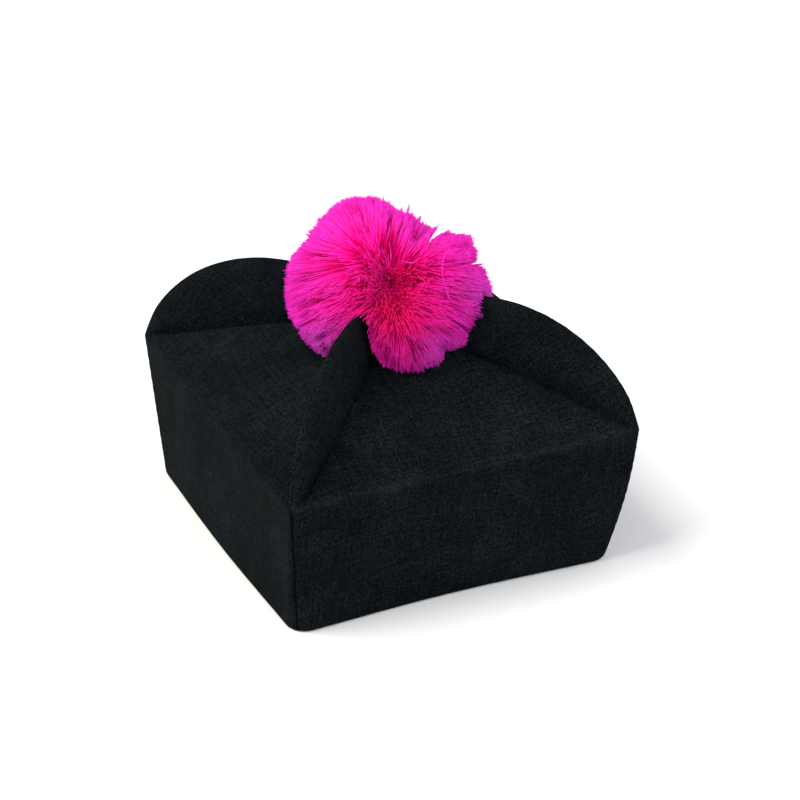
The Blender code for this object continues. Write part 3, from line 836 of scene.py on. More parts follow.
def weave_group():
    """Plain weave in a flat pattern measured in metres: height of its threads, and slubs."""
    group, entry, leave = node_group("weave", {"Cut": None, "Pitch": 0.0008},
                                     ("Height", "Slub"))
    wander = add_node(group, "TexNoise", {"Vector": entry["Cut"], "Scale": WANDER_CELLS})
    shifted = vector_maths(group, "MULTIPLY_ADD", {
        0: wander.outputs["Color"], 1: (WANDER, WANDER, 0.0), 2: entry["Cut"]})
    count = maths(group, "DIVIDE", 1.0, entry["Pitch"])
    scaled = vector_maths(group, "SCALE", {0: shifted, "Scale": count})
    turns = add_node(group, "SeparateXYZ", {0: scaled}).outputs
    threads, slubs = [], []
    for own, other, swing, stretch in ((0, 1, 0.5, (SLUB_STRETCH, 1.0, 1.0)),
                                       (1, 0, -0.5, (1.0, SLUB_STRETCH, 1.0))):
        profile = maths(group, "ABSOLUTE", maths(group, "SINE",
                                                 times(group, turns[own], math.pi)))
        over = maths(group, "ADD", turns[other], maths(group, "FLOOR", turns[own]))
        lift = maths(group, "SINE", times(group, over, math.pi))
        threads.append(times(group, profile, maths(group, "MULTIPLY_ADD", lift, swing, 0.5)))
        slubs.append(noise(group, vector_maths(group, "MULTIPLY", {0: scaled, 1: stretch}),
                           0.9, 1.0))
    feed_all(group, leave, {"Height": maths(group, "MAXIMUM", *threads),
                            "Slub": times(group, maths(group, "ADD", *slubs), 0.5)})
    return group


def lint_group():
    """Fine fuzz, rare specks of lint and slow mottling in space."""
    group, entry, leave = node_group("lint", {"Place": None, "Specks": 0.1},
                                     ("Fuzz", "Lint", "Mottle"))
    cells = add_node(group, "TexVoronoi", {"Vector": entry["Place"],
                                          "Scale": SPECK_CELLS}).outputs
    pick = add_node(group, "SeparateColor", {0: cells["Color"]}).outputs
    chosen = maths(group, "LESS_THAN", pick[0], entry["Specks"])
    speck = spread(group, cells["Distance"], 0.05, 0.16, 1.0, 0.0)
    feed_all(group, leave, {"Fuzz": noise(group, entry["Place"], FUZZ_CELLS, 3.0, 0.8),
                            "Lint": times(group, chosen, times(group, speck, pick[1])),
                            "Mottle": noise(group, entry["Place"], MOTTLE_CELLS, 3.0, 0.6)})
    return group


def highlight_wear_group():
    """Painted highlight and wear in patches, along a line across the flat pattern and along an edge
    given from outside.
    """
    group, entry, leave = node_group(
        "highlight_wear", {"Cut": None, "Line": 0.0, "Width": 0.002, "Share": 1.0, "Edge_highlight_wear": 0.0},
        ("Highlight_and_wear",))
    height = add_node(group, "SeparateXYZ", {0: entry["Cut"]}).outputs[1]
    off = maths(group, "DIVIDE", maths(group, "SUBTRACT", height, entry["Line"]),
                entry["Width"])
    band = maths(group, "POWER", 2.718, times(group, times(group, off, off), -1.0))
    patchy = noise(group, entry["Cut"], HIGHLIGHT_WEAR_CELLS, 4.0, 0.65)
    patches = spread(group, patchy, 0.42, 0.66, 0.22, 1.0)
    whole = maths(group, "MULTIPLY_ADD", band, entry["Share"], entry["Edge_highlight_wear"])
    feed_all(group, leave, {"Highlight_and_wear": times(group, whole, patches)})
    return group


def wool_material(cap, finish, weave, lint, highlight_wear):
    """Fine black wool: woven threads, slubs, fuzz, a painted highlight and wear along the fold and
    the horns' edges, and painted shade along the corner seams.
    """
    made, tree, shader = new_material("black_wool")
    cut = add_node(tree, "UVMap", uv_map="cut").outputs[0]
    share, edge, seam = attributes(tree, "worn", "ridge", "seam")
    woven = place_group(tree, weave, {"Cut": cut, "Pitch": finish.thread_pitch})
    worn = place_group(tree, highlight_wear, {"Cut": cut, "Line": cap.wall_height, "Width": 0.0018,
                                    "Share": share, "Edge_highlight_wear": times(tree, edge, 0.7)})
    dust = place_group(tree, lint, {"Place": object_place(tree), "Specks": 0.16})
    dark, light, lint_and_highlight = (tone(finish.cloth_colour, 0.45), tone(finish.cloth_colour, 1.60),
                          tone(finish.lint_and_highlight_colour))
    thread = blend(tree, spread(tree, woven["Height"], 0.1, 0.9), dark, light)
    slub = spread(tree, woven["Slub"], 0.35, 0.65, 0.7, 1.3)
    fuzz = spread(tree, dust["Fuzz"], 0.36, 0.70, 0.44, 2.15)
    mottle = spread(tree, dust["Mottle"], 0.3, 0.7, 0.78, 1.22)
    colour = shaded(tree, thread, times(tree, times(tree, slub, fuzz), mottle))
    # Painted highlight and wear along the fold and the horns' edges, in patches
    colour = blend(tree, times(tree, worn["Highlight_and_wear"], 0.042), colour, lint_and_highlight)
    colour = blend(tree, times(tree, dust["Lint"], 0.30), colour, lint_and_highlight)
    # Painted shade along the corner seams, where the cloth dips
    colour = blend(tree, times(tree, seam, 0.85), colour, tone(finish.cloth_colour, 0.1))
    height = maths(tree, "MULTIPLY_ADD", dust["Fuzz"], 0.5, woven["Height"])
    feed_all(tree, shader, {
        "Base Color": colour,
        "Roughness": spread(tree, woven["Height"], 0.0, 1.0, 0.98, 0.80),
        "Normal": bump(tree, height, 0.00012, 0.8),
        "Specular IOR Level": 0.01,
        "Sheen Weight": 0.004,
        "Sheen Roughness": 0.45,
        "Sheen Tint": (0.80, 0.92, 0.90, 1.0)})
    return made


def fibre_material(finish):
    """Silky dyed fibres, bright at their cut ends, with painted shade that turns them crimson
    towards their roots, in the hollow and on the lower right of the ball.
    """
    made, tree, shader = new_material("magenta_fibre")
    along, strand, violet, deep_shade = attributes(tree, "along", "strand", "violet", "deep_shade")
    root, body, tip, tinted = (tone(colour) for colour in (
        finish.root_shade_colour, finish.fibre_colour, finish.tip_colour, finish.violet_colour))
    # Painted shade: towards the roots, inside the ball, the colour turns to crimson
    colour = blend(tree, spread(tree, along, 0.15, 0.80), root, body)
    colour = blend(tree, spread(tree, along, 0.70, 1.0), colour, tip)
    # Painted shade in the hollow and on the lower right side of the ball
    colour = blend(tree, times(tree, deep_shade, 0.85), colour, root)
    colour = blend(tree, violet, colour, tinted)
    feed_all(tree, shader, {
        "Base Color": shaded(tree, colour, spread(tree, strand, 0.0, 1.0, 0.84, 1.10)),
        "Roughness": spread(tree, strand, 0.0, 1.0, 0.36, 0.56),
        "Specular IOR Level": 0.13,
        "Subsurface Weight": 0.35,
        "Subsurface Radius": (1.0, 0.15, 0.5),
        "Subsurface Scale": 0.0015})
    return made


def heart_material(finish):
    """Packed fibres at the pompom's middle."""
    made, tree, shader = new_material("magenta_heart")
    grain = noise(tree, object_place(tree), PACKED_CELLS, 3.0, 0.7)
    colour = blend(tree, spread(tree, grain, 0.35, 0.65), tone(finish.root_shade_colour, 0.5),
                   tone(finish.root_shade_colour))
    feed_all(tree, shader, {"Base Color": colour, "Roughness": 0.7,
                            "Normal": bump(tree, grain, 0.0005)})
    return made


def thread_material(finish, lint):
    """Black sewing thread with a fine twist."""
    made, tree, shader = new_material("black_thread")
    space = object_place(tree)
    dust = place_group(tree, lint, {"Place": space, "Specks": 0.05})
    twist = add_node(tree, "TexWave", {"Vector": space, "Scale": TWIST_CELLS},
                     wave_type="BANDS", bands_direction="DIAGONAL").outputs["Fac"]
    light = tone(finish.cloth_colour, 1.7)
    colour = blend(tree, twist, tone(finish.cloth_colour, 0.4), light)
    feed_all(tree, shader, {
        "Base Color": blend(tree, times(tree, dust["Fuzz"], 0.3), colour, light),
        "Roughness": spread(tree, twist, 0.0, 1.0, 0.75, 0.55),
        "Normal": bump(tree, twist, 0.0002),
        "Specular IOR Level": 0.08})
    return made


def floor_material(stage):
    """Plain pale floor."""
    made, tree, shader = new_material("pale_floor")
    grain = noise(tree, object_place(tree), FLOOR_CELLS, 4.0, 0.6)
    colour = blend(tree, grain, tone(stage.floor_colour, 0.97), tone(stage.floor_colour))
    feed_all(tree, shader, {"Base Color": colour, "Roughness": 0.9,
                            "Specular IOR Level": 0.1})
    return made


# Pompom

# The side that its tufts are combed away from: bearing from -Y towards +X and elevation, in
# degrees. Around this side a turn is counted from its right, through its top.
FACE = {"bearing": -25, "elevation": 32}
# Trimmed length of the fibres round the face, and how far their ends are combed back from it
TRIM = table(
    "turn length comb",
    (0, 0.0441, 24), (8, 0.0421, 24), (15, 0.0391, 24), (22, 0.0402, 24), (32, 0.0412, 24),
    (40, 0.0362, 22), (46, 0.0322, 22), (52, 0.0317, 24), (58, 0.0244, 24), (64, 0.0250, 26),
    (70, 0.0316, 28), (83, 0.0325, 30), (98, 0.0381, 34), (117, 0.0413, 40), (137, 0.0409, 43),
    (150, 0.0399, 44), (163, 0.0431, 42), (178, 0.0443, 40), (205, 0.0433, 26),
    (226, 0.0414, 14), (250, 0.0372, 14), (262, 0.0380, 14), (280, 0.0410, 16),
    (297, 0.0428, 16), (305, 0.0419, 17), (313, 0.0380, 18), (320, 0.0409, 18),
    (331, 0.0411, 19), (345, 0.0440, 20))
# Length of the fibres at the face's middle, and the hollow there: its place, depth as a share of
# the length, and width
FRONT_LENGTH = 0.0390
HOLLOW = {"turn": -10, "polar": 12, "depth": 0.34, "width": 24}
# Thin wisps that stand out over the trimmed edge: turn, length and half width in degrees
WISPS = table(
    "turn length width",
    (94, 0.0400, 0.7), (90, 0.0382, 0.9), (81, 0.0355, 0.8), (76, 0.0376, 0.9),
    (66, 0.0348, 1.2), (60, 0.0316, 1.0), (50, 0.0386, 0.9), (30, 0.0432, 1.0),
    (14, 0.0424, 0.8), (331, 0.0440, 0.9))
# Share of the fibres in a wisp that stand out, how much shorter the shortest are, and where it
# lies out from the face's middle
WISP_SHARE, WISP_FROM = 0.28, 0.92
WISP_POLAR, WISP_SPAN = 78, 12
# Where the fibres take the crimson of their roots as painted shade, and where their tips turn to
# violet
PAINTED_SHADE_SPOTS = table("turn polar width", (-75, 20, 38), (-10, 12, 27))
VIOLET = table("turn width share", (222, 13, 1.0), (306, 15, 0.8), (354, 12, 0.7))
# Loose hairs that lie over the face: start, middle and end in metres to the right, up and
# front of the pompom's middle
LOOSE_HAIRS = (
    ((0.0264, 0.0157, 0.0268), (0.0229, 0.0048, 0.0303), (0.0272, -0.0082, 0.0282)),
    ((0.0064, 0.0090, 0.0322), (0.0104, 0.0084, 0.0320), (0.0134, 0.0106, 0.0312)),
)
# Lobes: the middle of each one's turn and how far it spans, the point right, up and to the front
# of the pompom's middle that its fibres fan out from, and how strongly they are drawn to it
LOBES = table(
    "turn span hub share",
    (145, 62, (-0.0080, 0.0130, 0.0170), 0.80),
    (18, 34, (0.0150, 0.0115, 0.0130), 0.65),
    (290, 40, (0.0065, -0.0110, 0.0140), 0.45),
    (212, 18, (-0.0100, -0.0060, 0.0130), 0.45))
# Shares of its span over which a lobe is whole on each side, and over which it fades
LOBE_WHOLE, LOBE_FADE = 0.6, 0.5
# Clefts between the lobes: how far the ends on both sides lean away, and how wide it spreads
CLEFTS = table("turn gap width", (48, 4.0, 10), (15, 1.5, 7), (268, 1.5, 5), (331, 1.5, 8),
               (206, 1.2, 8))
# Bearing of each horn that the fibres lie against, how far its lean carries it to its left and
# the room that they leave at its right side's foot
HORN_ROOM = table(
    "bearing lean foot",
    (-45, 0.0, 7.0 * MM), (45, SEAMS["right"]["lean"], 0.0), (-135, 0.0, 0.0))
# Angles from the face's middle, in degrees, over which each way of shaping comes in
RANGES = {"trim": (0, 72), "ball": (92, 142), "comb": (14, 40), "comb_end": (40, 115),
          "cleft": (22, 62), "lobe": (10, 24), "lobe_end": (50, 90), "violet": (35, 65)}
# Where along a fibre its bend lies, and where a lobe's fibres start and bend from its hub
BEND_PLACE, HUB_START, HUB_BEND = 0.52, 0.92, 0.40
# Largest distance that a fibre is bent aside by a horn; one that would need more isn't there
BENT_ASIDE = 0.0050
# How far over a horn its push reaches, over what height and distance from the pompom's middle it
# fades, and how softly it starts
OVER_HORN, HORN_FADE, MIDDLE_FADE, SOFT_PUSH = 0.0022, 0.0040, 0.006, 0.0008
# Most by which a fibre lies further off the cloth than the clearance
UNEVEN_CLEARANCE = 0.0012
# Spread of a clump's roots and tips, and how much more ruffled the fibres are in the hollow
ROOT_SPREAD, TIP_SPREAD = 1.3, 0.85
RUFFLED, RUFFLED_WIDTH = 4, 20
# Spread of the lengths of tufts, clumps and single fibres, and of the ways that they lean
TUFT_UNEVEN, CLUMP_UNEVEN, FIBRE_UNEVEN = 0.014, 0.012, 0.014
TUFT_SWAY, CLUMP_SWAY, FIBRE_SWAY = 0.040, 0.040, 0.020
# Disorder of the clumps' directions, and how far down the lowest one points
DISORDER, LOWEST_CLUMP = 0.014, -0.72
# Share of the fibres that are cut short, and how short
SHORT_SHARE = 0.10
SHORT_FROM, SHORT_TO = 0.80, 0.96
FIBRE_SEED = 11
TUFTS = 110
RINGS = 3
HAIR_RINGS = 13
SIDES = 3
# Size of the middle as a share of the roots' distance, its ripple and how far it is raised
HEART_SHARE, HEART_RIPPLE, HEART_LIFT = 1.25, 0.05, 0.001
# Thinnest and thickest fibre, thickness at the root, middle and tip as shares of a fibre's own,
# and that of a loose hair
THIN_FIBRE, THICK_FIBRE = 0.75, 1.2
FIBRE_TAPER = (0.50, 0.54, 0.40)
HAIR_THICKNESS = 0.55
# How many of the violet fibres stay pale, and how close to their tips the violet keeps
VIOLET_UNEVEN, VIOLET_AT_TIP = 0.7, 3


def bearing_direction(bearing, elevation):
    """Unit direction from a bearing from -Y towards +X and an elevation, in degrees."""
    turn, lift = math.radians(bearing), math.radians(elevation)
    level = math.cos(lift)
    return np.array([math.sin(turn) * level, -math.cos(turn) * level, math.sin(lift)])


def unit(vectors):
    return vectors / np.maximum(np.linalg.norm(vectors, axis=-1, keepdims=True), 1e-12)


def face_axes():
    """Right, up and front directions of the pompom's face, as rows."""
    front = bearing_direction(FACE["bearing"], FACE["elevation"])
    up = unit(np.array([0.0, 0.0, 1.0]) - front[2] * front)
    return np.stack([np.cross(up, front), up, front])


def round_face(directions, axes):
    """Turn round the face and angle away from its middle, in degrees."""
    right, up, front = (directions @ axis for axis in axes)
    return np.degrees(np.arctan2(up, right)) % 360, np.degrees(np.arccos(np.clip(front, -1, 1)))


def from_face(turn, polar, axes):
    """Unit directions for turns and angles in degrees."""
    turn, polar = np.radians(turn), np.radians(polar)
    level = np.sin(polar)
    return np.stack([np.cos(turn) * level, np.sin(turn) * level, np.cos(polar)], axis=-1) @ axes


def turn_gap(turn, middle):
    """Signed difference between turns, from -180 to 180 degrees."""
    return (turn - middle + 180) % 360 - 180


def ramp(polar, name):
    """Smooth step from 0 to 1 over a named range of angles from the face's middle."""
    start, end = RANGES[name]
    return smooth((polar - start) / (end - start))


def trimmed(turn, column):
    """Value of a column of the trimming table at each turn."""
    return np.interp(turn, [row["turn"] for row in TRIM], [row[column] for row in TRIM],
                     period=360)


def angle_from(spot, directions, axes):
    """Angle between directions and a spot on the face, in degrees."""
    middle = from_face(spot["turn"], spot["polar"], axes)
    return np.degrees(np.arccos(np.clip(directions @ middle, -1, 1)))


def near_spot(spot, directions, axes):
    """Share from 1 in the middle of a spot on the face to 0 far from it."""
    return np.exp(-(angle_from(spot, directions, axes) / spot["width"]) ** 2)


def fibre_length(pompom, directions, axes):
    """Length of the fibres whose ends lie in the given directions."""
    turn, polar = round_face(directions, axes)
    wide = np.linalg.norm(directions[..., :2], axis=-1) / (pompom.width / 2)
    tall = directions[..., 2] / (pompom.height / 2)
    back = 1 / np.hypot(wide, tall)
    length = mix(FRONT_LENGTH, trimmed(turn, "length"), ramp(polar, "trim"))
    length = mix(length, back, ramp(polar, "ball"))
    return length * (1 - HOLLOW["depth"] * near_spot(HOLLOW, directions, axes))


def spread_directions(count, source):
    """Directions spread evenly over the ball, with a little disorder."""
    index = np.arange(count) + 0.5
    height = 1 - 2 * index / count
    turn = math.pi * (1 + math.sqrt(5)) * index
    level = np.sqrt(1 - height ** 2)
    even = np.column_stack([np.cos(turn) * level, np.sin(turn) * level, height])
    return unit(even + source.normal(0.0, DISORDER, even.shape))


def comb(directions, axes):
    """Combs directions back from the face and apart along the clefts."""
    turn, polar = round_face(directions, axes)
    amount = trimmed(turn, "comb") * ramp(polar, "comb")
    amount = amount * (1 - ramp(polar, "comb_end"))
    for row in CLEFTS:
        gap = turn_gap(turn, row["turn"])
        side = np.where(gap < 0, -1.0, 1.0)
        apart = row["gap"] * np.exp(-np.abs(gap) / row["width"])
        turn = turn + side * apart * ramp(polar, "cleft")
    return from_face(turn, polar + amount, axes)


def lobe_paths(root, tip, length, heart, axes):
    """Start and middle of each fibre, drawn to the point that its lobe fans out from."""
    turn, polar = round_face(root, axes)
    start = root * heart
    bend = root * (length * BEND_PLACE)[:, None]
    end = tip * length[:, None]
    for row in LOBES:
        past = np.abs(turn_gap(turn, row["turn"])) - row["span"] * LOBE_WHOLE
        inside = 1 - smooth(past / (row["span"] * LOBE_FADE))
        share = row["share"] * inside * ramp(polar, "lobe")
        share = (share * (1 - ramp(polar, "lobe_end")))[:, None]
        hub = np.array(row["hub"]) @ axes
        start = mix(start, hub * HUB_START, share)
        bend = mix(bend, mix(hub, end, HUB_BEND), share)
    return start, bend, end


def keep_off_cloth(cap, points, margin):
    """Presses fibres up off the crown and aside from the horns; says which ones find room."""
    kept = np.ones(len(points), dtype=bool)
    for row in HORN_ROOM:
        outward = bearing_direction(row["bearing"], 0)
        across = np.cross((0.0, 0.0, 1.0), outward)
        along = points @ outward
        reach = diagonal(cap) - along
        off = points @ across + lean_shift(cap, row["lean"], reach, points[..., 2])
        stand = np.maximum(horn_stand(cap, reach), cap.cloth)
        base = cap.wall_height + crown_height(cap, reach / ROOT2)
        down = np.clip(1 - (points[..., 2] - base) / stand, 0.0, 1.0)
        flare = foot_spread(cap, row["foot"], reach) * down ** FOOT_FLARE
        room = cap.cloth + cap.seam_gap + cap.horn_belly + margin + np.where(off > 0, flare, 0)
        below = smooth((base + stand + OVER_HORN - points[..., 2]) / HORN_FADE)
        below = below * smooth(along / MIDDLE_FADE)
        short = room - np.abs(off)
        push = (short + np.hypot(short, SOFT_PUSH)) / 2 * below
        kept = kept & (push < BENT_ASIDE).all(axis=-1)
        points = points + across * (np.where(off > 0, push, -push))[..., None]
    inset = half_side(cap) - np.abs(points[..., :2]).max(axis=-1)
    floor = cap.wall_height + crown_height(cap, inset) + margin + cap.crease_puff
    points[..., 2] = np.maximum(points[..., 2], floor)
    return points, kept


def sway(count, owner, amount, source):
    """The same small random lean for all members of a group."""
    return source.normal(0.0, amount, (count, 3))[owner]


def fibre_paths(cap, pompom, source):
    """Points along all fibres, with each one's tip direction, share of painted shade and share of
    violet.
    """
    axes = face_axes()
    clumps = spread_directions(pompom.clumps, source)
    clumps = clumps[clumps[:, 2] > LOWEST_CLUMP]
    tufts = spread_directions(TUFTS, source)
    in_tuft = np.argmax(clumps @ tufts.T, axis=1)
    count = len(clumps) * pompom.per_clump
    owner = np.repeat(np.arange(len(clumps)), pompom.per_clump)
    cell = math.sqrt(4 / pompom.clumps)
    disc = np.sqrt(source.random(count)) * cell
    round_clump = source.random(count) * 2 * math.pi
    middle = clumps[owner]
    first = unit(np.cross(middle, unit(middle[:, [1, 2, 0]] + 0.3)))
    second = np.cross(middle, first)
    offset = (first * (np.cos(round_clump) * disc)[:, None]
              + second * (np.sin(round_clump) * disc)[:, None])
    root = unit(middle + offset * ROOT_SPREAD)
    lean = sway(TUFTS, in_tuft[owner], TUFT_SWAY, source)
    lean = lean + sway(len(clumps), owner, CLUMP_SWAY, source)
    angle = angle_from(HOLLOW, middle, axes)
    own = source.normal(0.0, FIBRE_SWAY, root.shape)
    own = own * (1 + RUFFLED * np.exp(-(angle / RUFFLED_WIDTH) ** 2))[:, None]
    tip = comb(unit(middle + offset * TIP_SPREAD + lean + own), axes)
    length = fibre_length(pompom, tip, axes)
    uneven = 1 + source.normal(0.0, TUFT_UNEVEN, TUFTS)[in_tuft[owner]]
    uneven = uneven + source.normal(0.0, CLUMP_UNEVEN, len(clumps))[owner]
    length = length * uneven * (1 + source.normal(0.0, FIBRE_UNEVEN, count))
    short = source.random(count) < SHORT_SHARE
    length = np.where(short, length * source.uniform(SHORT_FROM, SHORT_TO, count), length)
    turn, polar = round_face(tip, axes)
    for row in WISPS:
        near = np.abs(turn_gap(turn, row["turn"])) < row["width"]
        near = near & (np.abs(polar - WISP_POLAR) < WISP_SPAN)
        chosen = near & (source.random(count) < WISP_SHARE)
        length = np.where(chosen, row["length"] * source.uniform(WISP_FROM, 1.0, count), length)
    centre = np.array([0.0, 0.0, cap.wall_height + pompom.lift])
    start, bend, end = lobe_paths(root, tip, length, pompom.heart, axes)
    points = np.stack([(1 - share) ** 2 * start + 2 * share * (1 - share) * bend
                       + share ** 2 * end for share in np.linspace(0.0, 1.0, RINGS)], axis=1)
    points = points + centre
    margin = pompom.clearance + source.random(count)[:, None] * UNEVEN_CLEARANCE
    points, kept = keep_off_cloth(cap, points, margin)
    # Painted shade: how far each fibre takes the root's crimson, by where its tip lies
    deep_shade = np.max([near_spot(row, tip, axes) for row in PAINTED_SHADE_SPOTS], axis=0)
    violet = np.zeros(count)
    for row in VIOLET:
        band = row["share"] * np.exp(-(turn_gap(turn, row["turn"]) / row["width"]) ** 2)
        violet = np.maximum(violet, band * ramp(polar, "violet"))
    return points[kept], tip[kept], deep_shade[kept], violet[kept]


def fibre_tubes(points, radii, source):
    """Vertices of thin tubes with a few sides along paths of points."""
    count = len(points)
    tangent = unit(np.gradient(points, axis=1))
    helper = unit(source.normal(0.0, 1.0, (count, 1, 3)))
    first = unit(np.cross(tangent, helper))
    second = np.cross(tangent, first)
    angles = 2 * math.pi * np.arange(SIDES) / SIDES
    circle = (first[:, :, None] * np.cos(angles)[None, None, :, None]
              + second[:, :, None] * np.sin(angles)[None, None, :, None])
    return points[:, :, None] + circle * radii[:, :, None, None]


def tube_faces(count, rings):
    """Quads along each tube and a cap at both its ends."""
    quads = []
    for ring in range(rings - 1):
        for side in range(SIDES):
            near, far = side, (side + 1) % SIDES
            base = ring * SIDES
            quads.append((base + near, base + far, base + SIDES + far, base + SIDES + near))
    last = (rings - 1) * SIDES
    caps = (tuple(range(SIDES))[::-1], tuple(last + side for side in range(SIDES)))
    start = np.arange(count)[:, None, None] * rings * SIDES
    return (np.array(quads) + start).reshape(-1, 4), (np.array(caps) + start).reshape(-1, SIDES)


def fibre_mesh(name, vertices, values):
    """One joined mesh of many fibres, with its point attributes."""
    quads, caps = tube_faces(*vertices.shape[:2])
    mesh = bpy.data.meshes.new(name)
    mesh.vertices.add(vertices.size // 3)
    mesh.vertices.foreach_set("co", vertices.astype(np.float32).ravel())
    corners = np.concatenate([quads.ravel(), caps.ravel()]).astype(np.int32)
    mesh.loops.add(len(corners))
    mesh.loops.foreach_set("vertex_index", corners)
    mesh.polygons.add(len(quads) + len(caps))
    starts = np.concatenate([np.arange(len(quads)) * 4,
                             len(quads) * 4 + np.arange(len(caps)) * SIDES])
    mesh.polygons.foreach_set("loop_start", starts.astype(np.int32))
    mesh.update(calc_edges=True)
    mesh.validate()
    mesh.shade_smooth()
    add_values(mesh, values)
    return link_new(name, mesh)


def make_fibres(cap, pompom):
    """The pompom's fibres as four joined meshes, one for each side of the ball."""
    source = np.random.default_rng(FIBRE_SEED)
    points, tip, deep_shade, tinted = fibre_paths(cap, pompom, source)
    count = len(points)
    thick = pompom.fibre * source.uniform(THIN_FIBRE, THICK_FIBRE, count)
    vertices = fibre_tubes(points, thick[:, None] * FIBRE_TAPER, source)
    shape = (count, RINGS, SIDES)
    along = np.broadcast_to(np.linspace(0, 1, RINGS)[None, :, None], shape)
    strand = np.broadcast_to(source.random(count)[:, None, None], shape)
    tinted = (tinted * source.random(count) ** VIOLET_UNEVEN)[:, None, None]
    values = {"along": along, "strand": strand, "violet": tinted * along ** VIOLET_AT_TIP,
              "deep_shade": np.broadcast_to(deep_shade[:, None, None], shape)}
    order = np.argsort(np.arctan2(tip[:, 0], -tip[:, 1]), kind="stable")
    return [fibre_mesh("fibres_" + name, vertices[chosen],
                       {key: value[chosen] for key, value in values.items()})
            for name, chosen in zip(("left", "front", "right", "back"),
                                    np.array_split(order, 4))]


def make_loose_hairs(cap, pompom):
    """A few loose hairs that lie over the face in a curve."""
    source = np.random.default_rng(FIBRE_SEED)
    marks = np.array(LOOSE_HAIRS) @ face_axes() + (0.0, 0.0, cap.wall_height + pompom.lift)
    way = np.linspace(0.0, 1.0, HAIR_RINGS)[None, :, None]
    start, middle, end = (marks[:, None, index] for index in range(3))
    points = ((1 - way) * (1 - 2 * way) * start + 4 * way * (1 - way) * middle
              + way * (2 * way - 1) * end)
    radii = pompom.fibre * HAIR_THICKNESS * np.ones(points.shape[:2])
    vertices = fibre_tubes(points, radii, source)
    ones = np.ones(vertices.shape[:3])
    values = {"along": ones, "strand": ones, "violet": 0 * ones, "deep_shade": 0 * ones}
    return fibre_mesh("loose_hairs", vertices, values)


def make_heart(cap, pompom):
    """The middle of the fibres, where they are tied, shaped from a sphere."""
    bpy.ops.object.select_all(action="DESELECT")
    bpy.ops.mesh.primitive_uv_sphere_add(segments=64, ring_count=36, radius=1.0)
    made = bpy.context.active_object
    made.name = made.data.name = "pompom_heart"
    points = np.empty(len(made.data.vertices) * 3)
    made.data.vertices.foreach_get("co", points)
    points = unit(points.reshape(-1, 3))
    ripple = HEART_RIPPLE * np.sin(9 * points[:, 0] + 7 * points[:, 2])
    radius = pompom.heart * HEART_SHARE * (1 + ripple * np.sin(8 * points[:, 1]))
    lift = np.array([0.0, 0.0, cap.wall_height + pompom.lift + HEART_LIFT])
    moved = points * radius[:, None] + lift
    made.data.vertices.foreach_set("co", moved.ravel())
    made.data.update()
    made.data.shade_smooth()
    return made


# Stage

# Where the middle of the picture lies off the cap's frame, as shares of its width
PICTURE_SHIFT_X, PICTURE_SHIFT_Y = 0.0175, 0.13975
AIM = (0.0, 0.0, 0.07)
LIGHTS = table(
    "name spot size power colour",
    ("key_light", (-1.06, 0.15, 1.57), 1.4, 45.0, (1.0, 1.0, 0.91)),
    ("fill_light", (0.50, -1.35, 1.25), 1.4, 15.5, (0.90, 0.92, 1.0)),
    ("side_light", (1.35, -0.45, 1.20), 1.2, 5.0, (1.0, 0.92, 0.94)))
ROOM_COLOUR, ROOM_LIGHT = (0.98, 0.99, 1.02, 1.0), 0.56
FLOOR_GAP = 0.0001


def camera_axes(stage):
    """Right, up and back directions of the camera."""
    level = math.cos(stage.elevation)
    back = Vector((math.sin(stage.azimuth) * level, -math.cos(stage.azimuth) * level,
                   math.sin(stage.elevation)))
    right = Vector((math.cos(stage.azimuth), math.sin(stage.azimuth), 0.0))
    up = back.cross(right)
    rolled_right = math.cos(stage.roll) * right + math.sin(stage.roll) * up
    rolled_up = -math.sin(stage.roll) * right + math.cos(stage.roll) * up
    return rolled_right, rolled_up, back


def add_camera(stage):
    """Camera at the photograph's angle."""
    data = bpy.data.cameras.new("camera")
    made = link_new("camera", data)
    right, up, back = camera_axes(stage)
    turn = Matrix((right, up, back)).transposed().to_4x4()
    made.matrix_world = Matrix.Translation(back * stage.distance) @ turn
    data.sensor_width = 36.0
    data.lens = stage.lens
    data.shift_x, data.shift_y = PICTURE_SHIFT_X, PICTURE_SHIFT_Y
    data.clip_end = 100.0
    bpy.context.scene.camera = made


def add_softbox(name, spot, size, power, colour):
    """A square soft light at a spot, turned towards the cap."""
    data = bpy.data.lights.new(name, "AREA")
    data.color, data.size, data.energy = colour, size, power
    made = link_new(name, data)
    made.location = spot
    made.rotation_euler = (Vector(spot) - Vector(AIM)).to_track_quat("Z", "Y").to_euler()


class CAP_OT_sew_panels(bpy.types.Operator):
    """Sew the four cloth panels with their horns and hems"""
    bl_idname = "cap.sew_panels"
    bl_label = "Sew Panels"
    bl_options = {"REGISTER", "UNDO"}

    def execute(self, context):
        cap, finish = context.scene.cap_sizes, context.scene.cap_finish
        wool = wool_material(cap, finish, weave_group(), lint_group(), highlight_wear_group())
        made = []
        for panel in PANELS:
            piece, cut = sew_panel(cap, panel)
            piece.data.materials.append(wool)
            made.append((piece, panel, cut))
        for index, (piece, panel, cut) in enumerate(made):
            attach(piece, "root")
            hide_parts(panel["node"])
        return {"FINISHED"}


class CAP_OT_tie_pompom(bpy.types.Operator):
    """Tie the ball of fibres to the crown"""
    bl_idname = "cap.tie_pompom"
    bl_label = "Tie Pompom"
    bl_options = {"REGISTER", "UNDO"}

    def execute(self, context):
        scene = context.scene
        finish = scene.cap_finish
        dyed, packed = fibre_material(finish), heart_material(finish)
        fibres = make_fibres(scene.cap_sizes, scene.pompom_sizes)
        hairs = make_loose_hairs(scene.cap_sizes, scene.pompom_sizes)
        heart = make_heart(scene.cap_sizes, scene.pompom_sizes)
        for piece in (*fibres, hairs, heart):
            piece.data.materials.append(packed if piece is heart else dyed)
            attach(piece, "root")
            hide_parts("pompom")
        return {"FINISHED"}


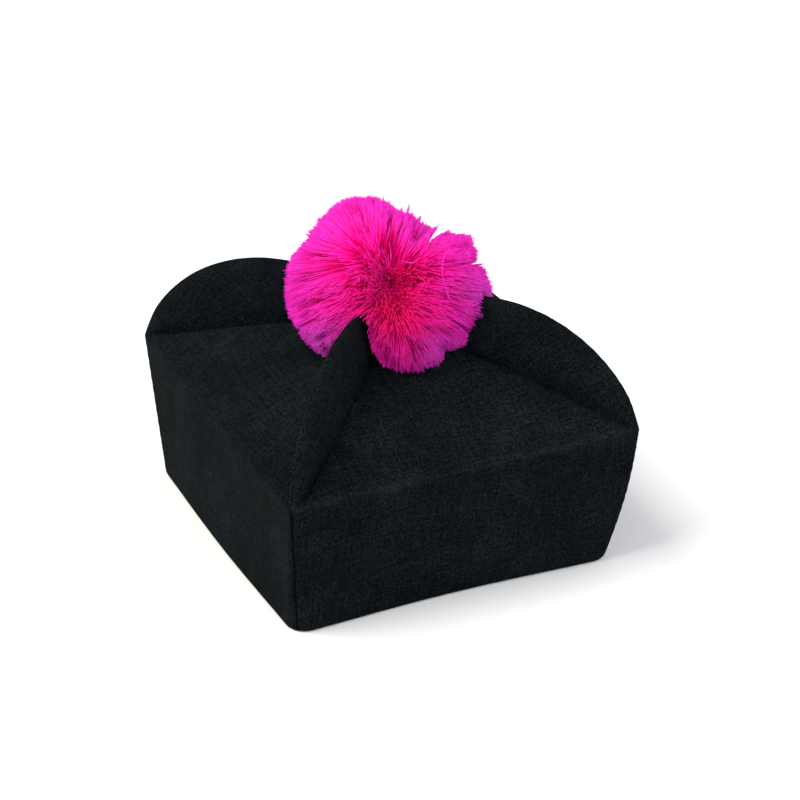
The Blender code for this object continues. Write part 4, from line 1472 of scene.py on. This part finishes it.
class CAP_OT_finish_tie(bpy.types.Operator):
    """Give the thread that holds the pompom its finish"""
    bl_idname = "cap.finish_tie"
    bl_label = "Finish Tie"
    bl_options = {"REGISTER", "UNDO"}

    def execute(self, context):
        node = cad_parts["pompom_tie"]
        thread = thread_material(context.scene.cap_finish, bpy.data.node_groups["lint"])
        node.data.materials.clear()
        node.data.materials.append(thread)
        return {"FINISHED"}


class CAP_OT_set_stage(bpy.types.Operator):
    """Add the pale floor, the soft lights and the camera"""
    bl_idname = "cap.set_stage"
    bl_label = "Set Stage"
    bl_options = {"REGISTER", "UNDO"}

    def execute(self, context):
        stage = context.scene.stage_sizes
        bpy.ops.object.select_all(action="DESELECT")
        bpy.ops.mesh.primitive_plane_add(size=stage.floor_size, location=(0, 0, -FLOOR_GAP))
        floor = context.active_object
        floor.name = "floor"
        floor.data.materials.append(floor_material(stage))
        for light in LIGHTS:
            add_softbox(**light)
        world = bpy.data.worlds.new("pale_room")
        world.use_nodes = True
        feed_all(world.node_tree, world.node_tree.nodes["Background"],
                 {"Color": ROOM_COLOUR, "Strength": ROOM_LIGHT})
        context.scene.world = world
        context.scene.view_settings.view_transform = "Standard"
        add_camera(stage)
        return {"FINISHED"}


class CAP_PT_looks(bpy.types.Panel):
    """Sidebar panel with the cap's operators and sizes"""
    bl_idname = "CAP_PT_looks"
    bl_label = "Square Cap"
    bl_space_type = "VIEW_3D"
    bl_region_type = "UI"
    bl_category = "Square Cap"

    def draw(self, context):
        layout = self.layout
        for operator in OPERATORS:
            layout.operator(operator.bl_idname)
        for name in PROPERTY_GROUPS:
            group = getattr(context.scene, name)
            box = layout.box()
            for key in group.bl_rna.properties.keys():
                if key not in {"rna_type", "name"}:
                    box.prop(group, key)


OPERATORS = (CAP_OT_sew_panels, CAP_OT_tie_pompom, CAP_OT_finish_tie, CAP_OT_set_stage)
PROPERTY_GROUPS = {
    "cap_sizes": CapSizes,
    "cap_finish": CapFinish,
    "pompom_sizes": PompomSizes,
    "stage_sizes": StageSizes,
}
CLASSES = (*PROPERTY_GROUPS.values(), *OPERATORS, CAP_PT_looks)


def register():
    for item in CLASSES:
        bpy.utils.register_class(item)
    for name, group in PROPERTY_GROUPS.items():
        setattr(bpy.types.Scene, name, PointerProperty(type=group))


def unregister():
    for name in PROPERTY_GROUPS:
        delattr(bpy.types.Scene, name)
    for item in reversed(CLASSES):
        bpy.utils.unregister_class(item)


def main():
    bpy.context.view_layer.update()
    register()
    bpy.ops.cap.sew_panels()
    bpy.ops.cap.tie_pompom()
    bpy.ops.cap.finish_tie()
    bpy.ops.cap.set_stage()


if __name__ == "__main__":
    main()
